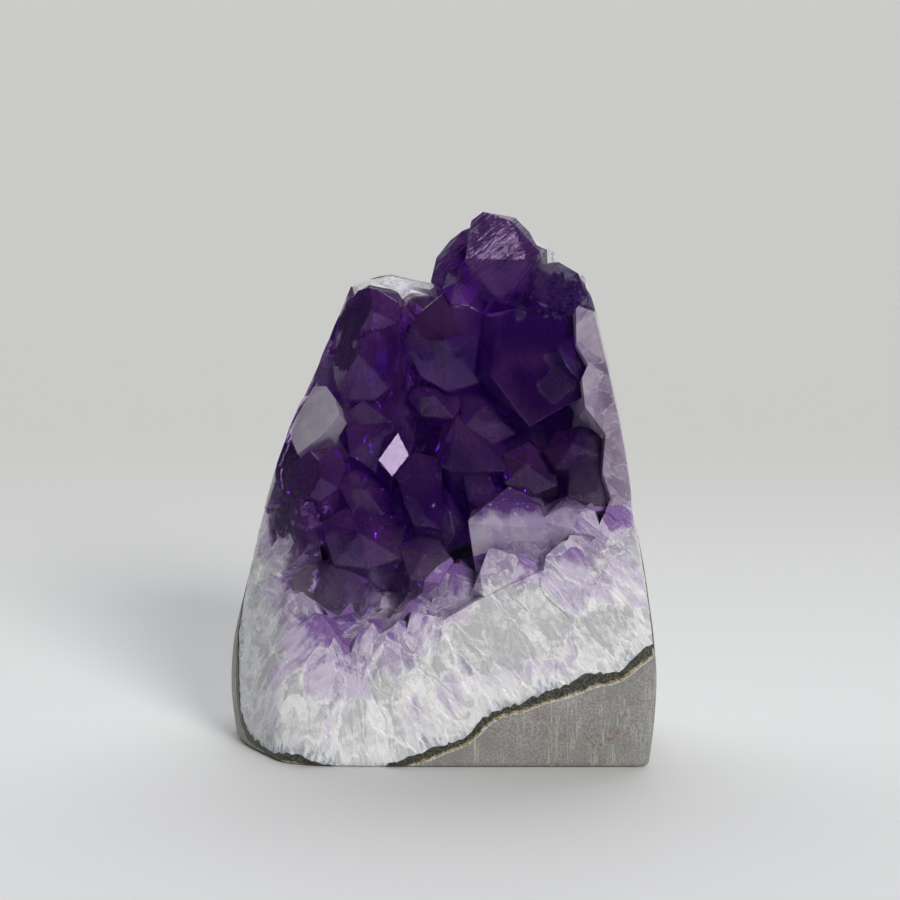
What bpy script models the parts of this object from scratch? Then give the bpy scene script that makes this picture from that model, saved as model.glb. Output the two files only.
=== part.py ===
"""Amethyst geode: a piece of geode wall, ground to a free-standing form on a flat cut base.

From the back and the base to the front it is basalt, a thin banded lining, and a quartz crust that
ends in free amethyst crystals. The ground outline cuts all three. X runs to the right, Y to the
back and Z up, and the origin is the middle of the base. Sizes in the tables are in millimetres.
"""

import math
import random

import bmesh
import bpy
import numpy as np
from mathutils import Matrix, Vector

MM = 0.001
WELD = 0.002
NEARLY = 1e-6

# The ground outline at rising heights: height, left x, right x, front y, back y
SIDES = (
    (0.0, -36.6, 36.3, -23.5, 21.6),
    (8.0, -37.5, 37.2, -23.3, 23.2),
    (16.0, -37.1, 37.5, -22.6, 23.5),
    (26.0, -34.9, 36.3, -21.4, 22.9),
    (40.0, -31.6, 33.9, -19.6, 21.4),
    (53.0, -27.6, 32.0, -18.0, 19.4),
    (68.0, -21.0, 28.8, -16.2, 16.4),
    (82.0, -15.2, 25.2, -14.4, 13.2),
    (98.0, -9.4, 20.3, -12.4, 9.0),
)
# The outline seen from above, as corners: share of the width, share of the depth, rounding
PLAN = (
    (0.155, 0.00, 0.22),
    (0.000, 0.42, 0.42),
    (0.055, 0.86, 0.45),
    (0.330, 1.00, 0.48),
    (0.760, 1.00, 0.48),
    (1.000, 0.70, 0.48),
    (0.985, 0.00, 0.05),
)
CORNER_STEPS = 4
ROW_HEIGHTS = (0.0, 0.8, 8.0, 16.0, 26.0, 38.0, 50.0, 62.0, 74.0, 86.0, 98.0)
BASE_ARRIS = 0.5

# The mean way the crystals grow, and two directions that lie along the wall of the geode
GROWTH = Vector((-0.18, -0.62, 0.76)).normalized()
ACROSS = (Vector((1, 0, 0)) - GROWTH * GROWTH.x).normalized()
RISE = GROWTH.cross(ACROSS)

# Points where basalt meets the lining: on the front, up the left, under the base, up the back
CONTACT_POINTS = (
    (-4.7, -23.5, 0.0),
    (5.0, -23.5, 4.4),
    (11.0, -23.5, 8.6),
    (18.0, -23.0, 10.9),
    (28.0, -22.5, 14.2),
    (36.0, -21.5, 18.4),
    (-26.0, -23.5, -0.4),
    (-35.5, -7.5, 3.5),
    (-36.5, -5.0, 14.0),
    (-35.0, 4.0, 27.0),
    (-15.0, -23.5, -2.6),
    (-12.0, -10.0, -1.0),
    (0.0, 3.0, 8.0),
    (-26.0, 15.0, 46.0),
    (0.0, 14.0, 36.0),
    (0.0, 13.5, 60.0),
    (20.0, 12.0, 46.0),
    (33.0, 4.0, 44.0),
    (26.0, 5.0, 70.0),
    (0.0, 11.5, 80.0),
    (-17.0, 11.0, 74.0),
)
WAVE_DEPTH = 0.45
WAVE_LENGTH = 11.0

# Layers along GROWTH, counted from the basalt's face
GAP = 0.4
LINING = 1.3
CRUST_START = GAP + LINING + GAP
CRUST = 29.0
CRUST_AT_BASE = 37.0
CRUST_EVEN_FROM = 26.0
FREE_LENGTH = 12.0
SHEET_HALF = 66.0
SHEET_STEP = 5.5
SHEET_DEPTH = 80.0

# The broken upper edge of the crust and the basalt: x, height at the front, height at the back
CROWN = (
    (-40.0, 82.0, 79.0),
    (-16.0, 81.5, 77.0),
    (-9.0, 82.8, 79.5),
    (-3.0, 81.2, 77.0),
    (2.0, 86.5, 80.5),
    (7.0, 90.0, 83.0),
    (13.0, 88.0, 84.0),
    (18.0, 84.5, 81.0),
    (24.0, 79.0, 76.0),
    (40.0, 72.0, 69.0),
)
CROWN_FLOOR = -5.0
CROWN_DEPTH = 30.0
CROWN_STATIONS = 5
CROWN_JITTER = 1.1

# Large crystals: the tip's x, height and set back from the front, the way to the root, and the
# corners where end faces meet the sides, each as right of, above and behind the tip
LARGE_CRYSTALS = (
    ((4.0, 86.5, 1.0), (0.15, 0.9, -0.35),
     ((11, -0.5, 2.5), (13, 0.5, 5), (11, 4, 6.5), (8.5, 6.5, 6), (8, 6, 4), (3, 7.5, 6), (1, 6, 5.5),
      (0, -1.5, 5), (1.5, -4.5, 3), (6, -8, 4))),
    ((2.5, 82.0, 5.0), (0.0, 0.9, -0.4),
     ((-2.5, -1.5, 2.5), (-1.5, 1.5, 4), (1.5, 2.5, 5), (4, -1.5, 3.5), (2, -4, 2), (-1, -4, 1.5))),
    ((3.5, 90.5, 8.0), (0.2, 0.9, -0.4),
     ((-5.5, -9, 1), (-4.5, -5, 2), (-2, -2, 3), (2.5, 0.5, 4), (3.5, -6, 2), (-2, -11, 0.5))),
    ((19.5, 82.5, 2.5), (0.0, 0.9, -0.4),
     ((-3.5, 2.5, 3), (0.5, 3, 4), (4, 1, 3.5), (5.5, -3, 2), (2, -5.5, 1.5), (-3, -3.5, 2))),
    ((13.0, 69.5, 3.2), (0.0, 0.95, -0.3),
     ((-3.5, 7, 1.2), (0, 8.5, 1.4), (6, 8.5, 1), (10, 5.5, 0.4), (11.5, -2.5, -1), (11, -6.5, -1.6),
      (2, -11.5, -2), (-4.5, -3, -0.2), (-5.5, 7, 4), (-6.5, 2, 3.5), (-7, -3.5, 3), (0.5, -10.5, 0))),
    ((19.5, 72.0, 0.2), (0.75, 0.6, -0.2),
     ((3.5, 2, 2), (7, 0, 3), (6.5, -4.5, 1.5), (4.5, -7, 1), (1.5, -3.5, 0.5))),
    ((0.5, 72.5, 4.5), (0.1, 0.95, -0.35),
     ((-7.5, -1, 3), (-4.5, 4, 4), (0, 7.5, 5), (6, 6.5, 5.5), (8.5, 1, 3.5), (6, -8, 2),
      (0.5, -9.5, 1.5), (-4, -7, 2))),
    ((-15.5, 72.0, 1.5), (0.2, 0.9, -0.4),
     ((-4.5, -1.5, 2), (-3.5, -5.5, 2.5), (-1.5, -10, 2.5), (4, -10, 2.5), (6.5, -8, 3),
      (8.5, -1, 5.5), (7.5, 3.5, 6), (2.5, 1.5, 3.5))),
    ((-13.5, 78.5, 1.5), (0.2, 0.9, -0.4),
     ((-2, 3.5, 3), (2.5, 2.5, 4), (6, 0, 5), (5.5, -3.5, 4), (-2, -7, 2), (-6, -8, 1.5), (-6, -2, 1.5))),
    ((-9.5, 57.0, 6.0), (0.0, 0.85, -0.5),
     ((-4.5, 2, 3.5), (-1, 3.5, 5), (2.5, 2, 4.5), (5, -2.5, 2.5), (3.5, -7, 1), (-2, -8, 0.5),
      (-6.5, -4.5, 1), (-7, -0.5, 2))),
    ((-1.5, 62.5, 7.0), (0.0, 0.9, -0.45),
     ((-4.5, -1, 3), (-2.5, 1.5, 4), (0.5, 3.5, 5.5), (4, 2, 5), (5.5, -2, 4), (3.5, -4.5, 2),
      (-2, -4, 1.5))),
    ((7.0, 60.5, 7.0), (0.0, 0.9, -0.45),
     ((-4, 1.5, 4), (0, 3.5, 5.5), (4, 0.5, 4), (6, -5, 2), (1.5, -7, 0.5), (-3.5, -4, 1.5))),
    ((-7.5, 57.0, 3.5), (-0.05, 0.8, -0.6),
     ((-3.5, -4.5, -2.5), (-1, -7.5, -3), (2, -4, -1), (3, -2, 3), (1, 0.5, 3.5), (-2.5, -1.5, 3))),
    ((2.5, 58.5, 9.5), (0.0, 0.65, -0.75),
     ((-1, -8.5, -6.5), (9.5, -8.5, -5.5), (8.5, -4, 1.5), (3, 1, 6), (-2.5, -1.5, 3), (-4, -7.5, -3.5))),
    ((5.0, 50.0, 6.0), (0.05, 0.65, -0.75),
     ((-1.5, -0.5, -0.5), (-0.5, -4.5, -3.5), (1.5, -6, -4.5), (4.5, -3, -2), (2.5, 0, 0.5))),
    ((-6.5, 45.5, 1.6), (0.1, 0.8, -0.6),
     ((-2, 5.5, 3), (2, 7.5, 5.5), (5.5, 6.5, 6), (6.5, 4.5, 5), (6.5, -5, 0), (1.5, -4.5, 1))),
    ((-23.0, 51.0, 0.8), (0.05, 0.8, -0.55),
     ((-5.5, -3, 2), (-4.5, 1, 4), (-1, 2, 5.5), (5, 3, 6.5), (6.5, -0.5, 5), (5, -4, 3), (2, -6, 2),
      (-2, -4, 1.5))),
    ((-25.0, 45.0, 0.8), (0.05, 0.8, -0.55),
     ((-5, 2.5, 2.5), (-1, 1.5, 4), (3, -1, 3.5), (4.5, -4, 2), (0.5, -5.5, 1), (-4, -3.5, 1))),
    ((-26.0, 40.0, 0.5), (0.05, 0.8, -0.6),
     ((-5, 1, 2), (-1.5, 2.5, 4), (4, 1, 4), (5, -2.5, 2), (0, -4.5, 1), (-5, -3.5, 1))),
    ((-14.0, 40.0, 2.0), (0.0, 0.8, -0.6),
     ((-7, 1, 3), (-2.5, 3.5, 5), (3, 3, 5.5), (7.5, 0, 4.5), (7, -5, 2), (1.5, -6.5, 0.5),
      (-4.5, -6, 1))),
    ((-13.0, 47.0, 3.5), (0.0, 0.8, -0.6),
     ((-5, 0.5, 3.5), (-2, 2.5, 5.5), (2.5, 1.5, 5), (5, -2, 4), (3, -5, 2), (-2.5, -4.5, 1.5))),
    ((-3.0, 36.5, 2.0), (0.0, 0.7, -0.7),
     ((-4.5, 0.5, 3), (-1, 2.5, 5), (2.5, 1.5, 4.5), (5, -2, 3), (2.5, -5.5, 1), (-2.5, -5, 1))),
    ((22.5, 55.5, 1.4), (-0.05, 0.85, -0.5),
     ((-5, -2, 2.5), (-3, 1, 4), (1.5, 2, 5), (5.5, 1, 3), (6, -3, 1.5), (2, -5, 0.5), (-3, -5, 1))),
    ((25.5, 49.0, 0.6), (-0.05, 0.85, -0.5),
     ((-3.5, 2.5, 3), (2, 3.5, 3), (5, -0.5, 2), (4, -5, 1), (-0.5, -5.5, 0.5), (-4, -3, 2))),
    ((14.5, 51.5, 3.0), (0.0, 0.8, -0.6),
     ((-4, 1, 3.5), (0.5, 3, 5), (4.5, 0, 3.5), (5.5, -4, 1), (0.5, -6, 0.5), (-4, -3.5, 1))),
    ((26.5, 74.5, 0.4), (-0.2, 0.9, -0.35),
     ((-2, 2.5, 2.5), (0, 4, 3), (2, -0.5, 2.5), (2, -6, 2), (0, -7.5, 1), (-2, -3, 1))),
    ((27.5, 64.0, 0.4), (-0.2, 0.9, -0.4),
     ((-2.5, 2.5, 2.5), (0.5, 3.5, 3), (2.5, -0.5, 2.5), (2.5, -4.5, 1.5), (-0.5, -5, 1),
      (-2.5, -1.5, 1.5))),
)
# Crystals that the ground face cuts through, low down and at both rims, in the same form
CUT_CRYSTALS = (
    ((11.5, 47.5, 4.0), (0.1, 0.55, -0.8),
     ((-7, -5, -5), (-3.5, -2, -5), (5, -2.5, -5), (6.5, -6, -5), (6, -3, 3), (-6, -4, 3))),
    ((21.5, 46.0, 4.0), (0.05, 0.55, -0.8),
     ((-4, -3, -5), (-1, -1.5, -5), (4.5, -2, -5), (6, -6, -5), (5, -2, 3), (-4, -2.5, 3))),
    ((26.0, 76.0, 3.0), (-0.1, 0.9, -0.4),
     ((-3, 3, -4), (-0.5, 5.5, -4), (6, 0, -4), (5.5, -9, -4), (-0.5, -8, -4), (-3, -3.5, -4))),
    ((28.0, 67.0, 3.0), (-0.1, 0.9, -0.4),
     ((-1.5, 6, -4), (3, 7, -4), (7, -9, -4), (0, -10, -4), (-3.5, -5, -4), (-4, 0, -4))),
    ((30.5, 56.0, 3.0), (-0.1, 0.8, -0.5),
     ((-2, 6.5, -4), (3, 6, -4), (7, -12, -4), (-1, -12, -4), (-3, -5, -4), (-2, 0.5, -4))),
    ((32.0, 42.0, 3.0), (0.0, 0.7, -0.7),
     ((-3, 6, -4), (2, 8, -4), (7, -14, -4), (-1, -14, -4), (-3.5, -6, -4), (-5.5, 0, -4))),
    ((-20.5, 62.0, 3.0), (0.15, 0.9, -0.4),
     ((-1, 6, -4), (1.5, 2.5, -4), (2.5, -0.5, -4), (0, -3.5, -4), (-6, -6, -4), (-9, 0, -4), (-4, 7, -4))),
)
# Crystals of even shape between those: x, height, set back, radius, lean right, lean up, twist
CRYSTALS = (
    (-15.0, 79.6, 4.6, 6.0, -0.30, 0.60, 0),
    (-6.5, 77.6, 8.0, 6.2, -0.15, 0.55, 10),
    (12.6, 88.4, 6.5, 5.4, 0.05, 0.65, 30),
    (9.0, 79.0, 7.0, 7.0, 0.00, 0.35, 48),
    (24.6, 77.5, 3.0, 5.2, 0.35, 0.45, 45),
    (-13.6, 62.0, 5.5, 6.2, -0.20, 0.50, 22),
    (-18.5, 33.0, 1.2, 5.5, -0.10, 0.60, 44),
    (-0.6, 45.5, 5.5, 6.0, 0.00, 0.60, 12),
)
CRYSTAL_LENGTH = 44.0
LEAST_FORWARD = 0.22
FACE_SLOPE = math.radians(51.8)
FACE_UNEVEN = 0.34
SIDE_UNEVEN = 0.16
FLAT_WITHIN = math.radians(0.3)

# Crystals between those, on a jittered grid over the crust's free face
FILL_STEP = 9.2
FILL_JITTER = 2.6
FILL_RADIUS = (5.2, 7.2)
FILL_SUNK = (3.5, 8.5)
FILL_LEAN = 0.2
FILL_REACH = 14.0
FILL_UNDER_CROWN = 3.0
SEED = 7
# Over a hundred crystals cross each other at shallow angles, and the exact solver loses them
CRYSTAL_SOLVER = "MANIFOLD"

BASALT = ("basalt", (0.22, 0.215, 0.205, 1.0), 0.55)
LINING_STONE = ("banded_lining", (0.10, 0.105, 0.07, 1.0), 0.45)
QUARTZ = ("quartz", (0.42, 0.24, 0.60, 1.0), 0.12)


def smooth_table(table, at):
    """Each later column of the table at the first column's value, on a smooth curve."""
    rows = np.array(table, float)
    knots = rows[:, 0]
    slopes = np.gradient(rows[:, 1:], knots, axis=0)
    i = int(np.clip(np.searchsorted(knots, at) - 1, 0, len(knots) - 2))
    span = knots[i + 1] - knots[i]
    t = (at - knots[i]) / span
    start, end = rows[i, 1:], rows[i + 1, 1:]
    rise = 3 * t**2 - 2 * t**3
    leave = t**3 - 2 * t**2 + t
    arrive = t**3 - t**2
    return start * (1 - rise) + end * rise + span * (slopes[i] * leave + slopes[i + 1] * arrive)


def rounded_plan():
    """PLAN as a ring of points with curved corners, stretched to fill 0 to 1 both ways."""
    corners = [Vector(corner[:2]) for corner in PLAN]
    ring = []
    for i, corner in enumerate(corners):
        before, after = corners[i - 1], corners[(i + 1) % len(corners)]
        cut = PLAN[i][2]
        start, end = corner.lerp(before, cut), corner.lerp(after, cut)
        for step in range(CORNER_STEPS + 1):
            t = step / CORNER_STEPS
            ring.append(start.lerp(corner, t).lerp(corner.lerp(end, t), t))
    ring = np.array(ring)
    return (ring - ring.min(0)) / (ring.max(0) - ring.min(0))


def make_mesh_object(name, points, faces):
    """A mesh object from points in millimetres, with its faces turned outwards."""
    mesh = bpy.data.meshes.new(name)
    mesh.from_pydata([Vector(p) * MM for p in points], [], faces)
    shape = bmesh.new()
    shape.from_mesh(mesh)
    bmesh.ops.recalc_face_normals(shape, faces=shape.faces)
    shape.to_mesh(mesh)
    shape.free()
    thing = bpy.data.objects.new(name, mesh)
    bpy.context.scene.collection.objects.link(thing)
    return thing


def ground_form(name):
    """The whole outline as one closed solid: the rings of the plan, row over row."""
    plan = rounded_plan()
    points, faces = [], []
    for height in ROW_HEIGHTS:
        left, right, front, back = smooth_table(SIDES, height)
        inset = BASE_ARRIS if height == 0 else 0.0
        for across, deep in plan:
            x = left + inset + (right - left - 2 * inset) * across
            y = front + inset + (back - front - 2 * inset) * deep
            points.append((x, y, height))
    size = len(plan)
    for row in range(len(ROW_HEIGHTS) - 1):
        for i in range(size):
            j = (i + 1) % size
            faces.append((row * size + i, row * size + j, (row + 1) * size + j, (row + 1) * size + i))
    faces.append(tuple(range(size)))
    faces.append(tuple(range(len(points) - size, len(points))))
    return make_mesh_object(name, points, faces)


def wall_coordinates(point):
    """A point's place along the wall, across and up, and its height over it along GROWTH."""
    point = Vector(point)
    return point.dot(ACROSS), point.dot(RISE), point.dot(GROWTH)


def spline_kernel(squared):
    return squared * np.log(np.maximum(squared, 1e-9))


class ContactSheet:
    """The face where basalt ends: a thin-plate spline through CONTACT_POINTS, with small waves."""

    def __init__(self):
        places = np.array([wall_coordinates(p) for p in CONTACT_POINTS])
        self.knots = places[:, :2]
        apart = self.knots[:, None] - self.knots[None]
        count = len(places)
        system = np.zeros((count + 3, count + 3))
        system[:count, :count] = spline_kernel((apart**2).sum(-1))
        system[:count, count] = system[count, :count] = 1
        system[:count, count + 1 :] = self.knots
        system[count + 1 :, :count] = self.knots.T
        self.weights = np.linalg.solve(system, np.append(places[:, 2], [0, 0, 0]))

    def height(self, across, rise):
        squared = ((self.knots - (across, rise)) ** 2).sum(-1)
        smooth = spline_kernel(squared) @ self.weights[:-3]
        smooth += self.weights[-3] + self.weights[-2] * across + self.weights[-1] * rise
        turn = 2 * math.pi / WAVE_LENGTH
        waves = math.sin(turn * across + 0.7) * math.cos(turn * 0.8 * rise) * WAVE_DEPTH
        return smooth + waves

    def point(self, across, rise, over=0.0):
        return ACROSS * across + RISE * rise + GROWTH * (self.height(across, rise) + over)

    def normal(self, across, rise, reach=4.0):
        along = self.point(across + reach, rise) - self.point(across - reach, rise)
        up = self.point(across, rise + reach) - self.point(across, rise - reach)
        return along.cross(up).normalized()


def wall_slab(name, sheet, low, high):
    """The closed slab between two heights over the contact. None for low means far below it.

    The upper height is a number, or a function of the place up the wall."""
    count = int(2 * SHEET_HALF / SHEET_STEP) + 1
    ticks = [-SHEET_HALF + SHEET_STEP * i for i in range(count)]
    top = high if callable(high) else lambda rise: high
    upper = [sheet.point(a, r, top(r)) for r in ticks for a in ticks]
    if low is None:
        lower = [p - GROWTH * (p.dot(GROWTH) + SHEET_DEPTH) for p in upper]
    else:
        lower = [sheet.point(a, r, low) for r in ticks for a in ticks]
    faces = []
    for row in range(count - 1):
        for column in range(count - 1):
            i = row * count + column
            for face in ((i, i + 1, i + 1 + count), (i, i + 1 + count, i + count)):
                faces.append(face)
                faces.append(tuple(len(upper) + k for k in reversed(face)))
    rim = list(range(count))
    rim += [row * count + count - 1 for row in range(1, count)]
    rim += [(count - 1) * count + column for column in range(count - 2, -1, -1)]
    rim += [row * count for row in range(count - 2, 0, -1)]
    for i, j in zip(rim, rim[1:] + rim[:1]):
        faces.append((j, i, len(upper) + i, len(upper) + j))
    return make_mesh_object(name, upper + lower, faces)


def crown_block(name):
    """Everything under the broken upper edge, with a faceted top that falls to the back."""
    chance = random.Random(SEED)
    columns = len(CROWN)
    points, faces = [], []
    for station in range(CROWN_STATIONS):
        share = station / (CROWN_STATIONS - 1)
        for x, front, back in CROWN:
            lift = chance.uniform(-CROWN_JITTER, CROWN_JITTER)
            shift = chance.uniform(-CROWN_JITTER, CROWN_JITTER)
            y = -CROWN_DEPTH + 2 * CROWN_DEPTH * share
            points.append((x + shift, y, front + (back - front) * share + lift))
    top = len(points)
    points += [(x, y, CROWN_FLOOR) for x, y, z in points]
    for row in range(CROWN_STATIONS - 1):
        for column in range(columns - 1):
            i = row * columns + column
            faces.append((i, i + 1, i + 1 + columns, i + columns))
            faces.append((top + i, top + i + columns, top + i + columns + 1, top + i + 1))
    rim = list(range(columns))
    rim += [row * columns + columns - 1 for row in range(1, CROWN_STATIONS)]
    rim += [(CROWN_STATIONS - 1) * columns + c for c in range(columns - 2, -1, -1)]
    rim += [row * columns for row in range(CROWN_STATIONS - 2, 0, -1)]
    for i, j in zip(rim, rim[1:] + rim[:1]):
        faces.append((j, i, top + i, top + j))
    return make_mesh_object(name, points, faces)


def crystal_planes(apex, axis, radius, length, twist, chance):
    """The planes that bound a quartz crystal: six sides, six end faces and a hidden root."""
    side = (Vector((1, 0, 0)) - axis * axis.x).normalized()
    side.rotate(Matrix.Rotation(math.radians(twist), 3, axis))
    planes = [(-axis, (apex - axis * length).dot(-axis))]
    for k in range(6):
        out = Matrix.Rotation(k * math.tau / 6, 3, axis) @ side
        reach = radius * (1 + chance.uniform(-SIDE_UNEVEN, SIDE_UNEVEN))
        planes.append((out, apex.dot(out) + reach))
        slope = axis * math.cos(FACE_SLOPE) + out * math.sin(FACE_SLOPE)
        small = FACE_UNEVEN * radius * chance.uniform(0.3, 1.0) * (k % 2)
        planes.append((slope, apex.dot(slope) + small))
    return planes


def corners_of(planes):
    """The corners of the convex solid inside all of the planes."""
    normals = np.array([normal for normal, reach in planes])
    reaches = np.array([reach for normal, reach in planes])
    count = len(planes)
    picks = [(i, j, k) for i in range(count) for j in range(i + 1, count) for k in range(j + 1, count)]
    picks = np.array(picks)
    sets = normals[picks]
    solvable = np.abs(np.linalg.det(sets)) > NEARLY
    found = np.linalg.solve(sets[solvable], reaches[picks[solvable]][..., None])[..., 0]
    inside = (found @ normals.T <= reaches + NEARLY).all(axis=1)
    return found[inside]


def crystal(apex, axis, radius, twist, chance):
    """One crystal of even shape."""
    planes = crystal_planes(Vector(apex), axis, radius, CRYSTAL_LENGTH, twist, chance)
    return solid_around(corners_of(planes))


def large_crystal(place, root, shoulder):
    """One crystal from its tip and shoulder corners, with sides that run along its root."""
    x, height, back = place
    tip = Vector((x, smooth_table(SIDES, height)[2] + back, height))
    root = Vector(root).normalized() * CRYSTAL_LENGTH
    ring = [tip + Vector((right, behind, above)) for right, above, behind in shoulder]
    return solid_around([tip, *ring, *[corner + root for corner in ring]])


def solid_around(corners):
    """The convex solid with these corners, as its own closed mesh with flat faces."""
    shape = bmesh.new()
    for corner in corners:
        shape.verts.new(Vector(corner) * MM)
    bmesh.ops.remove_doubles(shape, verts=shape.verts, dist=WELD * MM)
    bmesh.ops.convex_hull(shape, input=shape.verts)
    bmesh.ops.dissolve_limit(shape, angle_limit=FLAT_WITHIN, verts=shape.verts, edges=shape.edges)
    bmesh.ops.recalc_face_normals(shape, faces=shape.faces)
    mesh = bpy.data.meshes.new("crystal")
    shape.to_mesh(mesh)
    shape.free()
    return bpy.data.objects.new("crystal", mesh)


def standing_crystals(chance):
    """The crystals of the three tables."""
    made = [large_crystal(*row) for row in LARGE_CRYSTALS + CUT_CRYSTALS]
    for x, height, back, radius, right, up, twist in CRYSTALS:
        front = smooth_table(SIDES, height)[2]
        forward = math.sqrt(max(LEAST_FORWARD**2, 1 - right**2 - up**2))
        axis = Vector((right, -forward, up)).normalized()
        made.append(crystal((x, front + back, height), axis, radius, twist, chance))
    return made


def near_form(point, margin):
    """True within the margin of the ground outline's box and under the broken upper edge."""
    left, right, front, back = smooth_table(SIDES, min(max(point.z, 0.0), SIDES[-1][0]))
    wide = left - margin < point.x < right + margin
    deep = front - margin < point.y < back + margin
    edge = np.interp(point.x, [row[0] for row in CROWN], [row[1] for row in CROWN])
    return wide and deep and -margin < point.z < edge - FILL_UNDER_CROWN


def crust_at(rise):
    """The crust's thickness, which grows towards the base, where the ground face cuts it."""
    share = min(max((CRUST_EVEN_FROM - rise) / CRUST_EVEN_FROM, 0.0), 1.0)
    return CRUST + (CRUST_AT_BASE - CRUST) * share


def solid_crust_at(rise):
    """How much of the crust has grown together, under the free ends of the crystals."""
    return crust_at(rise) - FREE_LENGTH


def fill_crystals(sheet, chance):
    """Crystals on a jittered grid over the whole free face, a little lower than the others."""
    made = []
    count = int(2 * SHEET_HALF / FILL_STEP)
    for row in range(count):
        for column in range(count):
            across = -SHEET_HALF + FILL_STEP * (column + 0.5 * (row % 2))
            rise = -SHEET_HALF + FILL_STEP * row
            across += chance.uniform(-FILL_JITTER, FILL_JITTER)
            rise += chance.uniform(-FILL_JITTER, FILL_JITTER)
            over = crust_at(rise) - chance.uniform(*FILL_SUNK)
            radius = chance.uniform(*FILL_RADIUS)
            wobble = Vector([chance.uniform(-FILL_LEAN, FILL_LEAN) for _ in range(3)])
            apex = sheet.point(across, rise, over)
            if not near_form(apex, FILL_REACH):
                continue
            axis = (sheet.normal(across, rise) + GROWTH + wobble).normalized()
            made.append(crystal(apex, axis, radius, chance.uniform(0, 60), chance))
    return made


def combined(thing, operation, others, solver="EXACT"):
    """Runs one Boolean with a list of objects, keeps the result in the first, drops the rest."""
    group = bpy.data.collections.new("operands")
    bpy.context.scene.collection.children.link(group)
    for other in others:
        for owner in other.users_collection:
            owner.objects.unlink(other)
        group.objects.link(other)
    modifier = thing.modifiers.new("join", "BOOLEAN")
    modifier.operation = operation
    modifier.solver = solver
    modifier.operand_type = "COLLECTION"
    modifier.collection = group
    graph = bpy.context.evaluated_depsgraph_get()
    thing.data = bpy.data.meshes.new_from_object(thing.evaluated_get(graph))
    thing.modifiers.clear()
    for other in others:
        bpy.data.objects.remove(other)
    bpy.data.collections.remove(group)
    return thing


def island_of(face):
    """All faces joined to this one by their edges."""
    island, edge_of_island = {face}, [face]
    while edge_of_island:
        current = edge_of_island.pop()
        for edge in current.edges:
            for other in edge.link_faces:
                if other not in island:
                    island.add(other)
                    edge_of_island.append(other)
    return island


def keep_main_body(thing):
    """Drops every closed shell but the largest, so no chip or sealed hollow is left."""
    shape = bmesh.new()
    shape.from_mesh(thing.data)
    bmesh.ops.remove_doubles(shape, verts=shape.verts, dist=WELD * MM)
    left, islands = set(shape.faces), []
    while left:
        island = island_of(next(iter(left)))
        islands.append(island)
        left -= island
    main = max(islands, key=lambda faces: sum(face.calc_area() for face in faces))
    extra = [face for face in shape.faces if face not in main]
    bmesh.ops.delete(shape, geom=extra, context="FACES")
    shape.to_mesh(thing.data)
    shape.free()


def finish(thing, stone):
    """Gives a solid its stone and flat shading."""
    slot, colour, roughness = stone
    material = bpy.data.materials.new(slot)
    material.use_nodes = True
    surface = material.node_tree.nodes["Principled BSDF"]
    surface.inputs["Base Color"].default_value = colour
    surface.inputs["Roughness"].default_value = roughness
    surface.inputs["Metallic"].default_value = 0.0
    thing.data.materials.clear()
    thing.data.materials.append(material)
    thing.data.shade_flat()


def build():
    for thing in list(bpy.data.objects):
        bpy.data.objects.remove(thing)
    chance = random.Random(SEED)
    sheet = ContactSheet()

    basalt = wall_slab("basalt_rind", sheet, None, 0.0)
    combined(basalt, "INTERSECT", [ground_form("form")])
    combined(basalt, "INTERSECT", [crown_block("crown")])
    lining = wall_slab("banded_lining", sheet, GAP, GAP + LINING)
    combined(lining, "INTERSECT", [ground_form("form")])
    combined(lining, "INTERSECT", [crown_block("crown")])

    crust = wall_slab("quartz_crust", sheet, CRUST_START, solid_crust_at)
    combined(crust, "INTERSECT", [crown_block("crown")], CRYSTAL_SOLVER)
    crystals = standing_crystals(chance) + fill_crystals(sheet, chance)
    combined(crust, "UNION", crystals, CRYSTAL_SOLVER)
    combined(crust, "INTERSECT", [ground_form("form")], CRYSTAL_SOLVER)
    combined(crust, "DIFFERENCE", [wall_slab("under", sheet, None, CRUST_START)], CRYSTAL_SOLVER)

    for thing, stone in ((basalt, BASALT), (lining, LINING_STONE), (crust, QUARTZ)):
        keep_main_body(thing)
        finish(thing, stone)


build()
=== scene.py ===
"""Looks of the amethyst geode: clear violet crystals over milky quartz, banded lining and basalt.

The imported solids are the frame. Each is replaced by a finer mesh from the same form, contact sheet
and crystals, so sizes and places agree with the solids. Tables are in millimetres.
"""

import math
import random

import bmesh
import bpy
import numpy as np
from mathutils import Matrix, Vector, kdtree, noise
from mathutils.bvhtree import BVHTree


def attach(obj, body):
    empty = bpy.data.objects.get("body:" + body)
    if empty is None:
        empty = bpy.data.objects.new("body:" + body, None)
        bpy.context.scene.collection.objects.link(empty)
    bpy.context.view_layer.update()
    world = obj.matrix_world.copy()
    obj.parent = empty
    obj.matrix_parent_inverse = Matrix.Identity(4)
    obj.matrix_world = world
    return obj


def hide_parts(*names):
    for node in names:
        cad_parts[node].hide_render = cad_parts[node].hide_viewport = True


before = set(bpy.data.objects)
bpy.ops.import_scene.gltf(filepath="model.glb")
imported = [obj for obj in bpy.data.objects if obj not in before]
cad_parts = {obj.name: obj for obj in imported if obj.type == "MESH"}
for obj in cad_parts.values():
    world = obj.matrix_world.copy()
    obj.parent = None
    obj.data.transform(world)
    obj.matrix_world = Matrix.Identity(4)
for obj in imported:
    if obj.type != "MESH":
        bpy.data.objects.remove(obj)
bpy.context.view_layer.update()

MM = 0.001
WELD = 0.002
NEARLY = 1e-6
SEED = 7

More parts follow.
